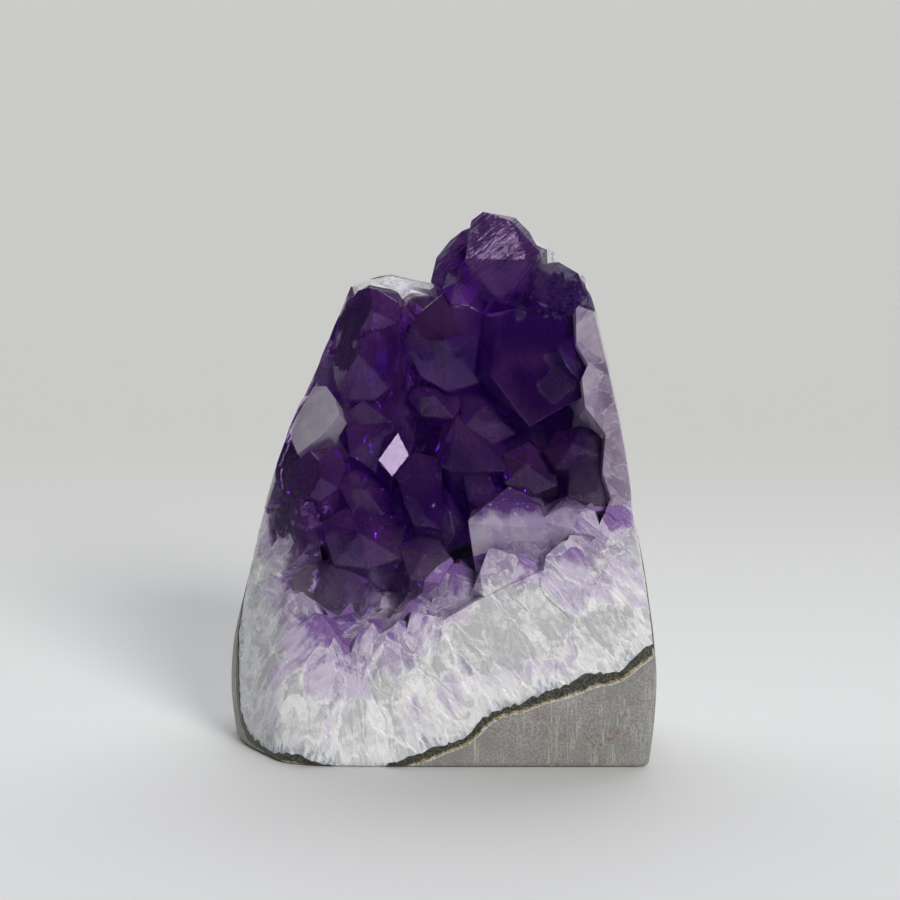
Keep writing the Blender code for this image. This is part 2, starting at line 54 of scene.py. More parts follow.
# The ground outline at rising heights: height, left x, right x, front y, back y
SIDES = (
    (0.0, -36.6, 36.3, -23.5, 21.6),
    (8.0, -37.5, 37.2, -23.3, 23.2),
    (16.0, -37.1, 37.5, -22.6, 23.5),
    (26.0, -34.9, 36.3, -21.4, 22.9),
    (40.0, -31.6, 33.9, -19.6, 21.4),
    (53.0, -27.6, 32.0, -18.0, 19.4),
    (68.0, -21.0, 28.8, -16.2, 16.4),
    (82.0, -15.2, 25.2, -14.4, 13.2),
    (98.0, -9.4, 20.3, -12.4, 9.0),
)
# The outline seen from above, as corners: share of the width, share of the depth, rounding
PLAN = (
    (0.155, 0.00, 0.22),
    (0.000, 0.42, 0.42),
    (0.055, 0.86, 0.45),
    (0.330, 1.00, 0.48),
    (0.760, 1.00, 0.48),
    (1.000, 0.70, 0.48),
    (0.985, 0.00, 0.05),
)
CORNER_STEPS = 24
PLAN_SHAPE = (1.6, 1.0)
BASE_ARRIS = 0.5
ARRIS_HALFWAY = 0.45
BASE_ROWS = (0.0, 0.25, 0.8)
FIRST_EVEN_ROW = 1.6

# The mean way the crystals grow, and two directions that lie along the wall of the geode
GROWTH = Vector((-0.18, -0.62, 0.76)).normalized()
ACROSS = (Vector((1, 0, 0)) - GROWTH * GROWTH.x).normalized()
RISE = GROWTH.cross(ACROSS)
WALL = np.array([ACROSS, RISE, GROWTH])
GROWTH_VALUES = ("grain_across", "grain_rise", "off_contact")

# Points where basalt meets the lining: on the front, up the left, under the base, up the back
CONTACT_POINTS = (
    (-4.7, -23.5, 0.0),
    (5.0, -23.5, 4.4),
    (11.0, -23.5, 8.6),
    (18.0, -23.0, 10.9),
    (28.0, -22.5, 14.2),
    (36.0, -21.5, 18.4),
    (-26.0, -23.5, -0.4),
    (-35.5, -7.5, 3.5),
    (-36.5, -5.0, 14.0),
    (-35.0, 4.0, 27.0),
    (-15.0, -23.5, -2.6),
    (-12.0, -10.0, -1.0),
    (0.0, 3.0, 8.0),
    (-26.0, 15.0, 46.0),
    (0.0, 14.0, 36.0),
    (0.0, 13.5, 60.0),
    (20.0, 12.0, 46.0),
    (33.0, 4.0, 44.0),
    (26.0, 5.0, 70.0),
    (0.0, 11.5, 80.0),
    (-17.0, 11.0, 74.0),
)
WAVE_DEPTH = 0.45
WAVE_LENGTH = 11.0
WAVE_SHIFT = 0.7
WAVE_STRETCH = 0.8
GRAIN_LEAN = 0.7

# Layers along GROWTH, counted from the basalt's face, and how the lining's upper face is ragged:
# scale, shift and height of each wave
LINING_LOW = 0.02
LINING = 2.2
LINING_WAVES = (
    (0.9, 0.0, 1.0),
    (0.16, 4.0, 0.9),
)
CRUST_LOW = 0.6
VIOLET_LOW = 3.0
CRUST = 29.0
CRUST_AT_BASE = 37.0
CRUST_EVEN_FROM = 26.0
FREE_LENGTH = 12.0
MILKY = 13.5
MILKY_AT_BASE = 29.0
MILKY_AT_TOP = 4.0
MILKY_THINS = (27.0, 42.0)
# Where the milky quartz is thicker: across, rise, radius, how much
MILKY_SWELLS = (
    (13.0, 9.0, 11.0, 6.0),
    (3.0, 52.0, 7.0, 14.0),
)
SHEET_HALF = 66.0
SHEET_DEPTH = 80.0

# Where the clear violet quartz starts, as a share of the milky quartz, and the way to full colour
VIOLET_START = 0.97
VIOLET_RAGGED = 0.22
VIOLET_DEEPENS = 12.0
# Where the milky quartz turns lilac, as a share of its thickness, and from which rise it stays white
LILAC_FROM = 0.44
WHITE_ABOVE = (43.0, 47.0)
# The pale crystals turn violet between two heights and dark between two places across the wall
PALE_VIOLET = (41.0, 46.0)
PALE_RIM = (34.0, 38.0)

# Gaps between pieces that touch, and how far each lies inside the ground outline
VIOLET_GAP = 0.03
PALE_GAP = 0.06
ROCK_INSIDE = 0.04
LINING_INSIDE = 0.07
PALE_INSIDE = 0.04
VIOLET_INSIDE = 0.05
MILKY_INSIDE = 0.12

# The rough back of the basalt: from and to which y it fades in, its lumps and how high they are
BACK_STARTS = (2.0, 10.0)
BACK_DEPTH = 0.9
LUMP_SCALE, LUMP_HEIGHT = 0.11, 0.8
SMALL_LUMP_SCALE, SMALL_LUMP_HEIGHT = 0.55, 0.28

# Grains in the ground face of the quartz: steps and tilts, and where off the contact they grow
GRAINS_FROM = (-60.0, -60.0, -6.0)
GRAINS_TO = (60.0, 60.0, 60.0)
COARSE_STEP, COARSE_TILT = 0.30, 0.10
FINE_STEP, FINE_TILT = 0.16, 0.06
FINE_FADES = 0.6
GRAINS_GROW = (6.0, 9.0)
GRAIN_DEEPEST = 0.6

# The broken upper edge of the crust and the basalt: x, height at the front, height at the back
CROWN = (
    (-40.0, 82.0, 79.0),
    (-16.0, 81.5, 77.0),
    (-9.0, 82.8, 79.5),
    (-3.0, 81.2, 77.0),
    (2.0, 86.5, 80.5),
    (7.0, 90.0, 83.0),
    (13.0, 88.0, 84.0),
    (18.0, 84.5, 81.0),
    (24.0, 79.0, 76.0),
    (40.0, 72.0, 69.0),
)
CROWN_FLOOR = -5.0
CROWN_DEPTH = 30.0
CROWN_STATIONS = 5
CROWN_JITTER = 1.1

# Large crystals: the tip's x, height and set back from the front, the way to the root, and the
# corners where end faces meet the sides, each as right of, above and behind the tip
LARGE_CRYSTALS = (
    ((4.0, 86.5, 1.0), (0.15, 0.9, -0.35),
     ((11, -0.5, 2.5), (13, 0.5, 5), (11, 4, 6.5), (8.5, 6.5, 6), (8, 6, 4), (3, 7.5, 6), (1, 6, 5.5),
      (0, -1.5, 5), (1.5, -4.5, 3), (6, -8, 4))),
    ((2.5, 82.0, 5.0), (0.0, 0.9, -0.4),
     ((-2.5, -1.5, 2.5), (-1.5, 1.5, 4), (1.5, 2.5, 5), (4, -1.5, 3.5), (2, -4, 2), (-1, -4, 1.5))),
    ((3.5, 90.5, 8.0), (0.2, 0.9, -0.4),
     ((-5.5, -9, 1), (-4.5, -5, 2), (-2, -2, 3), (2.5, 0.5, 4), (3.5, -6, 2), (-2, -11, 0.5))),
    ((19.5, 82.5, 2.5), (0.0, 0.9, -0.4),
     ((-3.5, 2.5, 3), (0.5, 3, 4), (4, 1, 3.5), (5.5, -3, 2), (2, -5.5, 1.5), (-3, -3.5, 2))),
    ((13.0, 69.5, 3.2), (0.0, 0.95, -0.3),
     ((-3.5, 7, 1.2), (0, 8.5, 1.4), (6, 8.5, 1), (10, 5.5, 0.4), (11.5, -2.5, -1), (11, -6.5, -1.6),
      (2, -11.5, -2), (-4.5, -3, -0.2), (-5.5, 7, 4), (-6.5, 2, 3.5), (-7, -3.5, 3), (0.5, -10.5, 0))),
    ((19.5, 72.0, 0.2), (0.75, 0.6, -0.2),
     ((3.5, 2, 2), (7, 0, 3), (6.5, -4.5, 1.5), (4.5, -7, 1), (1.5, -3.5, 0.5))),
    ((0.5, 72.5, 4.5), (0.1, 0.95, -0.35),
     ((-7.5, -1, 3), (-4.5, 4, 4), (0, 7.5, 5), (6, 6.5, 5.5), (8.5, 1, 3.5), (6, -8, 2),
      (0.5, -9.5, 1.5), (-4, -7, 2))),
    ((-15.5, 72.0, 1.5), (0.2, 0.9, -0.4),
     ((-4.5, -1.5, 2), (-3.5, -5.5, 2.5), (-1.5, -10, 2.5), (4, -10, 2.5), (6.5, -8, 3),
      (8.5, -1, 5.5), (7.5, 3.5, 6), (2.5, 1.5, 3.5))),
    ((-13.5, 78.5, 1.5), (0.2, 0.9, -0.4),
     ((-2, 3.5, 3), (2.5, 2.5, 4), (6, 0, 5), (5.5, -3.5, 4), (-2, -7, 2), (-6, -8, 1.5), (-6, -2, 1.5))),
    ((-9.5, 57.0, 6.0), (0.0, 0.85, -0.5),
     ((-4.5, 2, 3.5), (-1, 3.5, 5), (2.5, 2, 4.5), (5, -2.5, 2.5), (3.5, -7, 1), (-2, -8, 0.5),
      (-6.5, -4.5, 1), (-7, -0.5, 2))),
    ((-1.5, 62.5, 7.0), (0.0, 0.9, -0.45),
     ((-4.5, -1, 3), (-2.5, 1.5, 4), (0.5, 3.5, 5.5), (4, 2, 5), (5.5, -2, 4), (3.5, -4.5, 2),
      (-2, -4, 1.5))),
    ((7.0, 60.5, 7.0), (0.0, 0.9, -0.45),
     ((-4, 1.5, 4), (0, 3.5, 5.5), (4, 0.5, 4), (6, -5, 2), (1.5, -7, 0.5), (-3.5, -4, 1.5))),
    ((-7.5, 57.0, 3.5), (-0.05, 0.8, -0.6),
     ((-3.5, -4.5, -2.5), (-1, -7.5, -3), (2, -4, -1), (3, -2, 3), (1, 0.5, 3.5), (-2.5, -1.5, 3))),
    ((2.5, 58.5, 9.5), (0.0, 0.65, -0.75),
     ((-1, -8.5, -6.5), (9.5, -8.5, -5.5), (8.5, -4, 1.5), (3, 1, 6), (-2.5, -1.5, 3), (-4, -7.5, -3.5))),
    ((5.0, 50.0, 6.0), (0.05, 0.65, -0.75),
     ((-1.5, -0.5, -0.5), (-0.5, -4.5, -3.5), (1.5, -6, -4.5), (4.5, -3, -2), (2.5, 0, 0.5))),
    ((-6.5, 45.5, 1.6), (0.1, 0.8, -0.6),
     ((-2, 5.5, 3), (2, 7.5, 5.5), (5.5, 6.5, 6), (6.5, 4.5, 5), (6.5, -5, 0), (1.5, -4.5, 1))),
    ((-23.0, 51.0, 0.8), (0.05, 0.8, -0.55),
     ((-5.5, -3, 2), (-4.5, 1, 4), (-1, 2, 5.5), (5, 3, 6.5), (6.5, -0.5, 5), (5, -4, 3), (2, -6, 2),
      (-2, -4, 1.5))),
    ((-25.0, 45.0, 0.8), (0.05, 0.8, -0.55),
     ((-5, 2.5, 2.5), (-1, 1.5, 4), (3, -1, 3.5), (4.5, -4, 2), (0.5, -5.5, 1), (-4, -3.5, 1))),
    ((-26.0, 40.0, 0.5), (0.05, 0.8, -0.6),
     ((-5, 1, 2), (-1.5, 2.5, 4), (4, 1, 4), (5, -2.5, 2), (0, -4.5, 1), (-5, -3.5, 1))),
    ((-14.0, 40.0, 2.0), (0.0, 0.8, -0.6),
     ((-7, 1, 3), (-2.5, 3.5, 5), (3, 3, 5.5), (7.5, 0, 4.5), (7, -5, 2), (1.5, -6.5, 0.5),
      (-4.5, -6, 1))),
    ((-13.0, 47.0, 3.5), (0.0, 0.8, -0.6),
     ((-5, 0.5, 3.5), (-2, 2.5, 5.5), (2.5, 1.5, 5), (5, -2, 4), (3, -5, 2), (-2.5, -4.5, 1.5))),
    ((-3.0, 36.5, 2.0), (0.0, 0.7, -0.7),
     ((-4.5, 0.5, 3), (-1, 2.5, 5), (2.5, 1.5, 4.5), (5, -2, 3), (2.5, -5.5, 1), (-2.5, -5, 1))),
    ((22.5, 55.5, 1.4), (-0.05, 0.85, -0.5),
     ((-5, -2, 2.5), (-3, 1, 4), (1.5, 2, 5), (5.5, 1, 3), (6, -3, 1.5), (2, -5, 0.5), (-3, -5, 1))),
    ((25.5, 49.0, 0.6), (-0.05, 0.85, -0.5),
     ((-3.5, 2.5, 3), (2, 3.5, 3), (5, -0.5, 2), (4, -5, 1), (-0.5, -5.5, 0.5), (-4, -3, 2))),
    ((14.5, 51.5, 3.0), (0.0, 0.8, -0.6),
     ((-4, 1, 3.5), (0.5, 3, 5), (4.5, 0, 3.5), (5.5, -4, 1), (0.5, -6, 0.5), (-4, -3.5, 1))),
    ((26.5, 74.5, 0.4), (-0.2, 0.9, -0.35),
     ((-2, 2.5, 2.5), (0, 4, 3), (2, -0.5, 2.5), (2, -6, 2), (0, -7.5, 1), (-2, -3, 1))),
    ((27.5, 64.0, 0.4), (-0.2, 0.9, -0.4),
     ((-2.5, 2.5, 2.5), (0.5, 3.5, 3), (2.5, -0.5, 2.5), (2.5, -4.5, 1.5), (-0.5, -5, 1),
      (-2.5, -1.5, 1.5))),
)
# Crystals that the ground face cuts through, low down and at both rims, in the same form
CUT_CRYSTALS = (
    ((11.5, 47.5, 4.0), (0.1, 0.55, -0.8),
     ((-7, -5, -5), (-3.5, -2, -5), (5, -2.5, -5), (6.5, -6, -5), (6, -3, 3), (-6, -4, 3))),
    ((21.5, 46.0, 4.0), (0.05, 0.55, -0.8),
     ((-4, -3, -5), (-1, -1.5, -5), (4.5, -2, -5), (6, -6, -5), (5, -2, 3), (-4, -2.5, 3))),
    ((26.0, 76.0, 3.0), (-0.1, 0.9, -0.4),
     ((-3, 3, -4), (-0.5, 5.5, -4), (6, 0, -4), (5.5, -9, -4), (-0.5, -8, -4), (-3, -3.5, -4))),
    ((28.0, 67.0, 3.0), (-0.1, 0.9, -0.4),
     ((-1.5, 6, -4), (3, 7, -4), (7, -9, -4), (0, -10, -4), (-3.5, -5, -4), (-4, 0, -4))),
    ((30.5, 56.0, 3.0), (-0.1, 0.8, -0.5),
     ((-2, 6.5, -4), (3, 6, -4), (7, -12, -4), (-1, -12, -4), (-3, -5, -4), (-2, 0.5, -4))),
    ((32.0, 42.0, 3.0), (0.0, 0.7, -0.7),
     ((-3, 6, -4), (2, 8, -4), (7, -14, -4), (-1, -14, -4), (-3.5, -6, -4), (-5.5, 0, -4))),
    ((-20.5, 62.0, 3.0), (0.15, 0.9, -0.4),
     ((-1, 6, -4), (1.5, 2.5, -4), (2.5, -0.5, -4), (0, -3.5, -4), (-6, -6, -4), (-9, 0, -4), (-4, 7, -4))),
)
# Crystals of even shape between those: x, height, set back, radius, lean right, lean up, twist
CRYSTALS = (
    (-15.0, 79.6, 4.6, 6.0, -0.30, 0.60, 0),
    (-6.5, 77.6, 8.0, 6.2, -0.15, 0.55, 10),
    (12.6, 88.4, 6.5, 5.4, 0.05, 0.65, 30),
    (9.0, 79.0, 7.0, 7.0, 0.00, 0.35, 48),
    (24.6, 77.5, 3.0, 5.2, 0.35, 0.45, 45),
    (-13.6, 62.0, 5.5, 6.2, -0.20, 0.50, 22),
    (-18.5, 33.0, 1.2, 5.5, -0.10, 0.60, 44),
    (-0.6, 45.5, 5.5, 6.0, 0.00, 0.60, 12),
)
CRYSTAL_LENGTH = 44.0
LEAST_FORWARD = 0.22
FACE_SLOPE = math.radians(51.8)
FACE_UNEVEN = 0.34
SIDE_UNEVEN = 0.16
SIXTH_TURN = 60
FLAT_WITHIN = math.radians(0.3)
EDGE_WIDTH = 0.3

# Crystals between those of the tables, on a jittered grid over the crust's free face
FILL_STEP = 9.2
FILL_JITTER = 2.6
FILL_RADIUS = (5.2, 7.2)
FILL_SUNK = (3.5, 8.5)
FILL_LEAN = 0.2
FILL_REACH = 14.0
FILL_UNDER_CROWN = 3.0

# Crusts of small crystals: x, height, half width, half height, how many
DRUSES = (
    (19.5, 81.2, 4.0, 4.4, 110),
    (14.0, 43.5, 5.5, 1.6, 60),
    (-20.5, 29.0, 4.6, 3.4, 90),
    (21.0, 39.5, 2.2, 3.0, 50),
    (-21.5, 43.5, 2.6, 1.4, 30),
    (-28.0, 34.0, 2.5, 4.5, 40),
)
DRUSE_RADIUS = (0.25, 0.6)
DRUSE_LENGTH = 2.6
DRUSE_VIEW = Vector((0, 1, -0.19)).normalized()
DRUSE_AIM_Y = -15.0
DRUSE_START = 25.0
DRUSE_LEAN = 0.5
DRUSE_STANDS = 1.1
DRUSE_INSIDE = 0.2

# Faces that are frosted with pits, whose white specks are partly painted glints: x, height, radius
FROSTED = (
    (4.0, 50.5, 4.6),
    (-6.0, 43.0, 3.2),
    (18.5, 82.0, 4.0),
    (-21.0, 30.0, 5.0),
    (-19.0, 64.0, 3.6),
    (24.0, 50.0, 4.0),
    (-7.0, 49.6, 1.3),
)

# Fine growth lines on the top crystal: the ways across and along them, and the heights in metres
# between which they fade in
STRIAE_ACROSS = (-0.636, 0.114, 0.766)
STRIAE_ALONG = (0.74, 0.385, 0.557)
STRIAE_FROM = (0.079, 0.083)
QUARTZ_IOR = 1.544

# The floor in millimetres, its place and two fades in metres, the fades measured from its middle
FLOOR_HALF = 7000.0
FLOOR_PLACE = (0.0, 3.0, -0.0002)
FLOOR_GREYS = (-3.0, -2.7)
FLOOR_DARKENS = (-3.32, -3.14)

# The light, and the camera in metres
ROOM_LIGHT = 0.04
BACK_LIGHT = 1.75
TOP_LIGHT = 0.15
KEY_LIGHT = 1.85
KEY_WIDTH = math.radians(21)
KEY_DIRECTION = Vector((0.41, -0.77, 0.49))
CAMERA_ELEVATION = math.radians(11.0)
CAMERA_DISTANCE = 0.62
CAMERA_TARGET = Vector((0.0014, 0.0, 0.0510))
CAMERA_LENS = 141.1
CAMERA_SENSOR = 36.0


def smooth_table(table, at):
    """Each later column of the table at the first column's values, on a smooth curve."""
    rows = np.array(table, float)
    knots = rows[:, 0]
    slopes = np.gradient(rows[:, 1:], knots, axis=0)
    at = np.atleast_1d(np.asarray(at, float))
    i = np.clip(np.searchsorted(knots, at) - 1, 0, len(knots) - 2)
    span = (knots[i + 1] - knots[i])[:, None]
    t = (at - knots[i])[:, None] / span
    rise = 3 * t**2 - 2 * t**3
    leave = t**3 - 2 * t**2 + t
    arrive = t**3 - t**2
    start, end = rows[i, 1:], rows[i + 1, 1:]
    return start * (1 - rise) + end * rise + span * (slopes[i] * leave + slopes[i + 1] * arrive)


def front_at(height):
    """The y of the ground outline's front at a height."""
    return smooth_table(SIDES, height)[0, 2]


def rounded_plan(around):
    """PLAN as a ring of evenly spaced points with curved corners, filling 0 to 1 both ways."""
    corners = [Vector(corner[:2]) for corner in PLAN]
    ring = []
    for i, corner in enumerate(corners):
        before, after = corners[i - 1], corners[(i + 1) % len(corners)]
        cut = PLAN[i][2]
        start, end = corner.lerp(before, cut), corner.lerp(after, cut)
        for step in range(CORNER_STEPS + 1):
            t = step / CORNER_STEPS
            ring.append(start.lerp(corner, t).lerp(corner.lerp(end, t), t))
    ring = np.array(ring)
    ring = (ring - ring.min(0)) / (ring.max(0) - ring.min(0))
    closed = np.vstack([ring, ring[:1]])
    steps = np.linalg.norm(np.diff(closed, axis=0) * PLAN_SHAPE, axis=1)
    along = np.concatenate([[0.0], np.cumsum(steps)])
    wanted = np.linspace(0, along[-1], around, endpoint=False)
    return np.column_stack([np.interp(wanted, along, closed[:, axis]) for axis in (0, 1)])


def mesh_object(name, points, faces):
    """A mesh object from points in millimetres, with its faces turned outwards."""
    mesh = bpy.data.meshes.new(name)
    mesh.from_pydata((np.asarray(points, float) * MM).tolist(), [], faces)
    shape = bmesh.new()
    shape.from_mesh(mesh)
    bmesh.ops.recalc_face_normals(shape, faces=shape.faces)
    shape.to_mesh(mesh)
    shape.free()
    thing = bpy.data.objects.new(name, mesh)
    bpy.context.scene.collection.objects.link(thing)
    return thing


def ground_form(name, depth, around, rows):
    """The ground outline as a closed solid that lies inside it by a depth.

    The depth is a number, or a function of the points."""
    plan = rounded_plan(around)
    even_rows = np.linspace(FIRST_EVEN_ROW, SIDES[-1][0], rows - len(BASE_ROWS))
    heights = np.concatenate([BASE_ROWS, even_rows])
    sides = smooth_table(SIDES, heights)
    left, right, front, back = (sides[:, k][:, None] for k in range(4))
    x = left + (right - left) * plan[:, 0]
    y = front + (back - front) * plan[:, 1]
    z = np.repeat(heights[:, None], around, axis=1)
    points = np.stack([x, y, z], axis=-1)
    tangent = np.roll(points, -1, axis=1) - np.roll(points, 1, axis=1)
    inward = np.stack([tangent[..., 1], -tangent[..., 0]], axis=-1)
    inward /= np.linalg.norm(inward, axis=-1, keepdims=True)
    inward *= np.sign((-points[..., :2] * inward).sum(-1, keepdims=True))
    depths = depth(points.reshape(-1, 3)) if callable(depth) else np.full(z.size, depth)
    depths = depths.reshape(z.shape)
    depths[0] += BASE_ARRIS
    depths[1] += BASE_ARRIS * ARRIS_HALFWAY
    points[..., :2] += inward * depths[..., None]
    points = points.reshape(-1, 3)
    faces = []
    for row in range(len(heights) - 1):
        for i in range(around):
            j = (i + 1) % around
            low, high = row * around, (row + 1) * around
            faces.append((low + i, low + j, high + j, high + i))
    faces.append(tuple(range(around)))
    faces.append(tuple(range(len(points) - around, len(points))))
    return mesh_object(name, points, faces)


def share_between(value, low, high):
    """0 where the value is low or less, 1 where it is high or more, even steps between."""
    return np.clip((value - low) / (high - low), 0.0, 1.0)


def rim_of(columns, rows):
    """The outer points of a grid in order, as numbers of its points."""
    last = (rows - 1) * columns
    rim = list(range(columns))
    rim += [row * columns + columns - 1 for row in range(1, rows)]
    rim += [last + column for column in range(columns - 2, -1, -1)]
    return rim + [row * columns for row in range(rows - 2, 0, -1)]


def spline_kernel(squared):
    """The bending of a thin plate at squared distances from a knot."""
    return squared * np.log(np.maximum(squared, 1e-9))


class ContactSheet:
    """The face where basalt ends: a thin-plate spline through CONTACT_POINTS, with small waves."""

    def __init__(self):
        places = np.array(CONTACT_POINTS) @ WALL.T
        self.knots = places[:, :2]
        apart = self.knots[:, None] - self.knots[None]
        count = len(places)
        system = np.zeros((count + 3, count + 3))
        system[:count, :count] = spline_kernel((apart**2).sum(-1))
        system[:count, count] = system[count, :count] = 1
        system[:count, count + 1 :] = self.knots
        system[count + 1 :, :count] = self.knots.T
        self.weights = np.linalg.solve(system, np.append(places[:, 2], [0, 0, 0]))

    def heights(self, across, rise):
        """The sheet's height along GROWTH at arrays of places on the wall."""
        place = np.stack([across, rise], axis=-1)
        squared = ((place[..., None, :] - self.knots) ** 2).sum(-1)
        smooth = spline_kernel(squared) @ self.weights[:-3]
        smooth += self.weights[-3] + self.weights[-2] * across + self.weights[-1] * rise
        turn = 2 * math.pi / WAVE_LENGTH
        waves = np.sin(turn * across + WAVE_SHIFT) * np.cos(turn * WAVE_STRETCH * rise)
        return smooth + waves * WAVE_DEPTH

    def height(self, across, rise):
        return float(self.heights(np.array(across), np.array(rise)))

    def point(self, across, rise, over=0.0):
        return ACROSS * across + RISE * rise + GROWTH * (self.height(across, rise) + over)

    def normal(self, across, rise, reach=4.0):
        along = self.point(across + reach, rise) - self.point(across - reach, rise)
        up = self.point(across, rise + reach) - self.point(across, rise - reach)
        return along.cross(up).normalized()

    def slopes(self, across, rise, reach=4.0):
        """The sheet's slope across and up, and how much longer its heights are than distances."""
        wide = (self.heights(across + reach, rise) - self.heights(across - reach, rise)) / (2 * reach)
        tall = (self.heights(across, rise + reach) - self.heights(across, rise - reach)) / (2 * reach)
        return wide, tall, np.sqrt(1 + wide**2 + tall**2)

    def grain_space(self, points):
        """Coordinates that are straight along the way each grain grew, and the distance off the sheet."""
        wall = points @ WALL.T
        across, rise = wall[:, 0], wall[:, 1]
        wide, tall, longer = self.slopes(across, rise)
        over = (wall[:, 2] - self.heights(across, rise)) / longer
        lean = over * GRAIN_LEAN
        return np.column_stack([across + lean * wide, rise + lean * tall, over])


def wall_slab(name, sheet, low, high, step):
    """The closed slab between two heights over the contact. None for low means far below it.

    The upper height is a number, or a function of the places across and up the wall."""
    count = int(2 * SHEET_HALF / step) + 1
    ticks = np.linspace(-SHEET_HALF, SHEET_HALF, count)
    across, rise = np.meshgrid(ticks, ticks)
    across, rise = across.ravel(), rise.ravel()
    base = sheet.heights(across, rise)
    tops = base + (high(across, rise) if callable(high) else high)
    lows = np.full_like(base, -SHEET_DEPTH) if low is None else base + low
    upper = np.column_stack([across, rise, tops]) @ WALL
    lower = np.column_stack([across, rise, lows]) @ WALL
    faces = []
    size = len(upper)
    for row in range(count - 1):
        for column in range(count - 1):
            i = row * count + column
            for face in ((i, i + 1, i + 1 + count), (i, i + 1 + count, i + count)):
                faces.append(face)
                faces.append(tuple(size + k for k in reversed(face)))
    rim = rim_of(count, count)
    for i, j in zip(rim, rim[1:] + rim[:1]):
        faces.append((j, i, size + i, size + j))
    return mesh_object(name, np.vstack([upper, lower]), faces)


def crown_block(name):
    """Everything under the broken upper edge, with a faceted top that falls to the back."""
    chance = random.Random(SEED)
    columns = len(CROWN)
    points, faces = [], []
    for station in range(CROWN_STATIONS):
        share = station / (CROWN_STATIONS - 1)
        for x, front, back in CROWN:
            lift = chance.uniform(-CROWN_JITTER, CROWN_JITTER)
            shift = chance.uniform(-CROWN_JITTER, CROWN_JITTER)
            y = -CROWN_DEPTH + 2 * CROWN_DEPTH * share
            points.append((x + shift, y, front + (back - front) * share + lift))
    top = len(points)
    points += [(x, y, CROWN_FLOOR) for x, y, z in points]
    for row in range(CROWN_STATIONS - 1):
        for column in range(columns - 1):
            i = row * columns + column
            faces.append((i, i + 1, i + 1 + columns, i + columns))
            faces.append((top + i, top + i + columns, top + i + columns + 1, top + i + 1))
    rim = rim_of(columns, CROWN_STATIONS)
    for i, j in zip(rim, rim[1:] + rim[:1]):
        faces.append((j, i, top + i, top + j))
    return mesh_object(name, points, faces)


def even_planes(apex, axis, radius, twist, chance, length=CRYSTAL_LENGTH):
    """The planes of a quartz crystal of even shape: six sides, six end faces and a hidden root."""
    side = (Vector((1, 0, 0)) - axis * axis.x).normalized()
    side.rotate(Matrix.Rotation(math.radians(twist), 3, axis))
    planes = [(-axis, (apex - axis * length).dot(-axis))]
    for k in range(6):
        out = Matrix.Rotation(k * math.tau / 6, 3, axis) @ side
        reach = radius * (1 + chance.uniform(-SIDE_UNEVEN, SIDE_UNEVEN))
        planes.append((out, apex.dot(out) + reach))
        slope = axis * math.cos(FACE_SLOPE) + out * math.sin(FACE_SLOPE)
        small = FACE_UNEVEN * radius * chance.uniform(0.3, 1.0) * (k % 2)
        planes.append((slope, apex.dot(slope) + small))
    return planes


def planes_around(corners):
    """The planes of the convex solid around these corners, its root's plane first."""
    corners = np.array([tuple(corner) for corner in corners])
    count = len(corners)
    found = []
    for i in range(count):
        for j in range(i + 1, count):
            for k in range(j + 1, count):
                normal = np.cross(corners[j] - corners[i], corners[k] - corners[i])
                length = np.linalg.norm(normal)
                if length < NEARLY:
                    continue
                normal = normal / length
                over = corners @ normal - corners[i] @ normal
                if over.max() > WELD and over.min() < -WELD:
                    continue
                if over.max() > WELD:
                    normal = -normal
                if all(normal @ other < 1 - NEARLY for other, reach in found):
                    found.append((normal, float((corners @ normal).max())))
    return [(Vector(normal), reach) for normal, reach in found]


def large_planes(place, root, shoulder):
    """The planes of a crystal with a given tip and shoulder corners."""
    x, height, back = place
    tip = Vector((x, front_at(height) + back, height))
    root = Vector(root).normalized() * CRYSTAL_LENGTH
    ring = [tip + Vector((right, behind, above)) for right, above, behind in shoulder]
    return planes_around([tip, *ring, *[corner + root for corner in ring]])


def solid_inside(planes, edge):
    """The closed mesh of the convex solid inside the planes, with narrow faces along its edges when an edge
    width is given.
    """
    corners = corners_of(planes)
    if edge:
        corners = corners_of(planes + chamfers(planes, corners, edge))
    shape = bmesh.new()
    for corner in corners:
        shape.verts.new(Vector(corner))
    bmesh.ops.remove_doubles(shape, verts=shape.verts, dist=WELD)
    bmesh.ops.convex_hull(shape, input=shape.verts)
    bmesh.ops.dissolve_limit(shape, angle_limit=FLAT_WITHIN, verts=shape.verts, edges=shape.edges)
    bmesh.ops.scale(shape, vec=(MM, MM, MM), verts=shape.verts)
    bmesh.ops.recalc_face_normals(shape, faces=shape.faces)
    mesh = bpy.data.meshes.new("crystal")
    shape.to_mesh(mesh)
    shape.free()
    return bpy.data.objects.new("crystal", mesh)


def chamfers(planes, corners, width):
    """A narrow plane along every edge of a convex solid, so that its edges catch the light."""
    normals = np.array([normal for normal, reach in planes])
    reaches = np.array([reach for normal, reach in planes])
    touching = np.abs(corners @ normals.T - reaches) < WELD
    cuts = []
    for i in range(len(planes)):
        for j in range(i + 1, len(planes)):
            shared = corners[touching[:, i] & touching[:, j]]
            if len(shared) < 2 or np.ptp(shared, axis=0).max() < width:
                continue
            normal = Vector(normals[i] + normals[j]).normalized()
            edge = float((shared @ np.array(normal)).max())
            spread = math.sqrt(max(1 - normal.dot(Vector(normals[i])) ** 2, 0.0))
            cuts.append((normal, edge - 0.5 * width * spread))
    return cuts


def corners_of(planes):
    """The corners of the convex solid inside all of the planes."""
    normals = np.array([normal for normal, reach in planes])
    reaches = np.array([reach for normal, reach in planes])
    count = len(planes)
    picks = [(i, j, k) for i in range(count) for j in range(i + 1, count) for k in range(j + 1, count)]
    picks = np.array(picks)
    sets = normals[picks]
    solvable = np.abs(np.linalg.det(sets)) > NEARLY
    found = np.linalg.solve(sets[solvable], reaches[picks[solvable]][..., None])[..., 0]
    inside = (found @ normals.T <= reaches + NEARLY).all(axis=1)
    return found[inside]


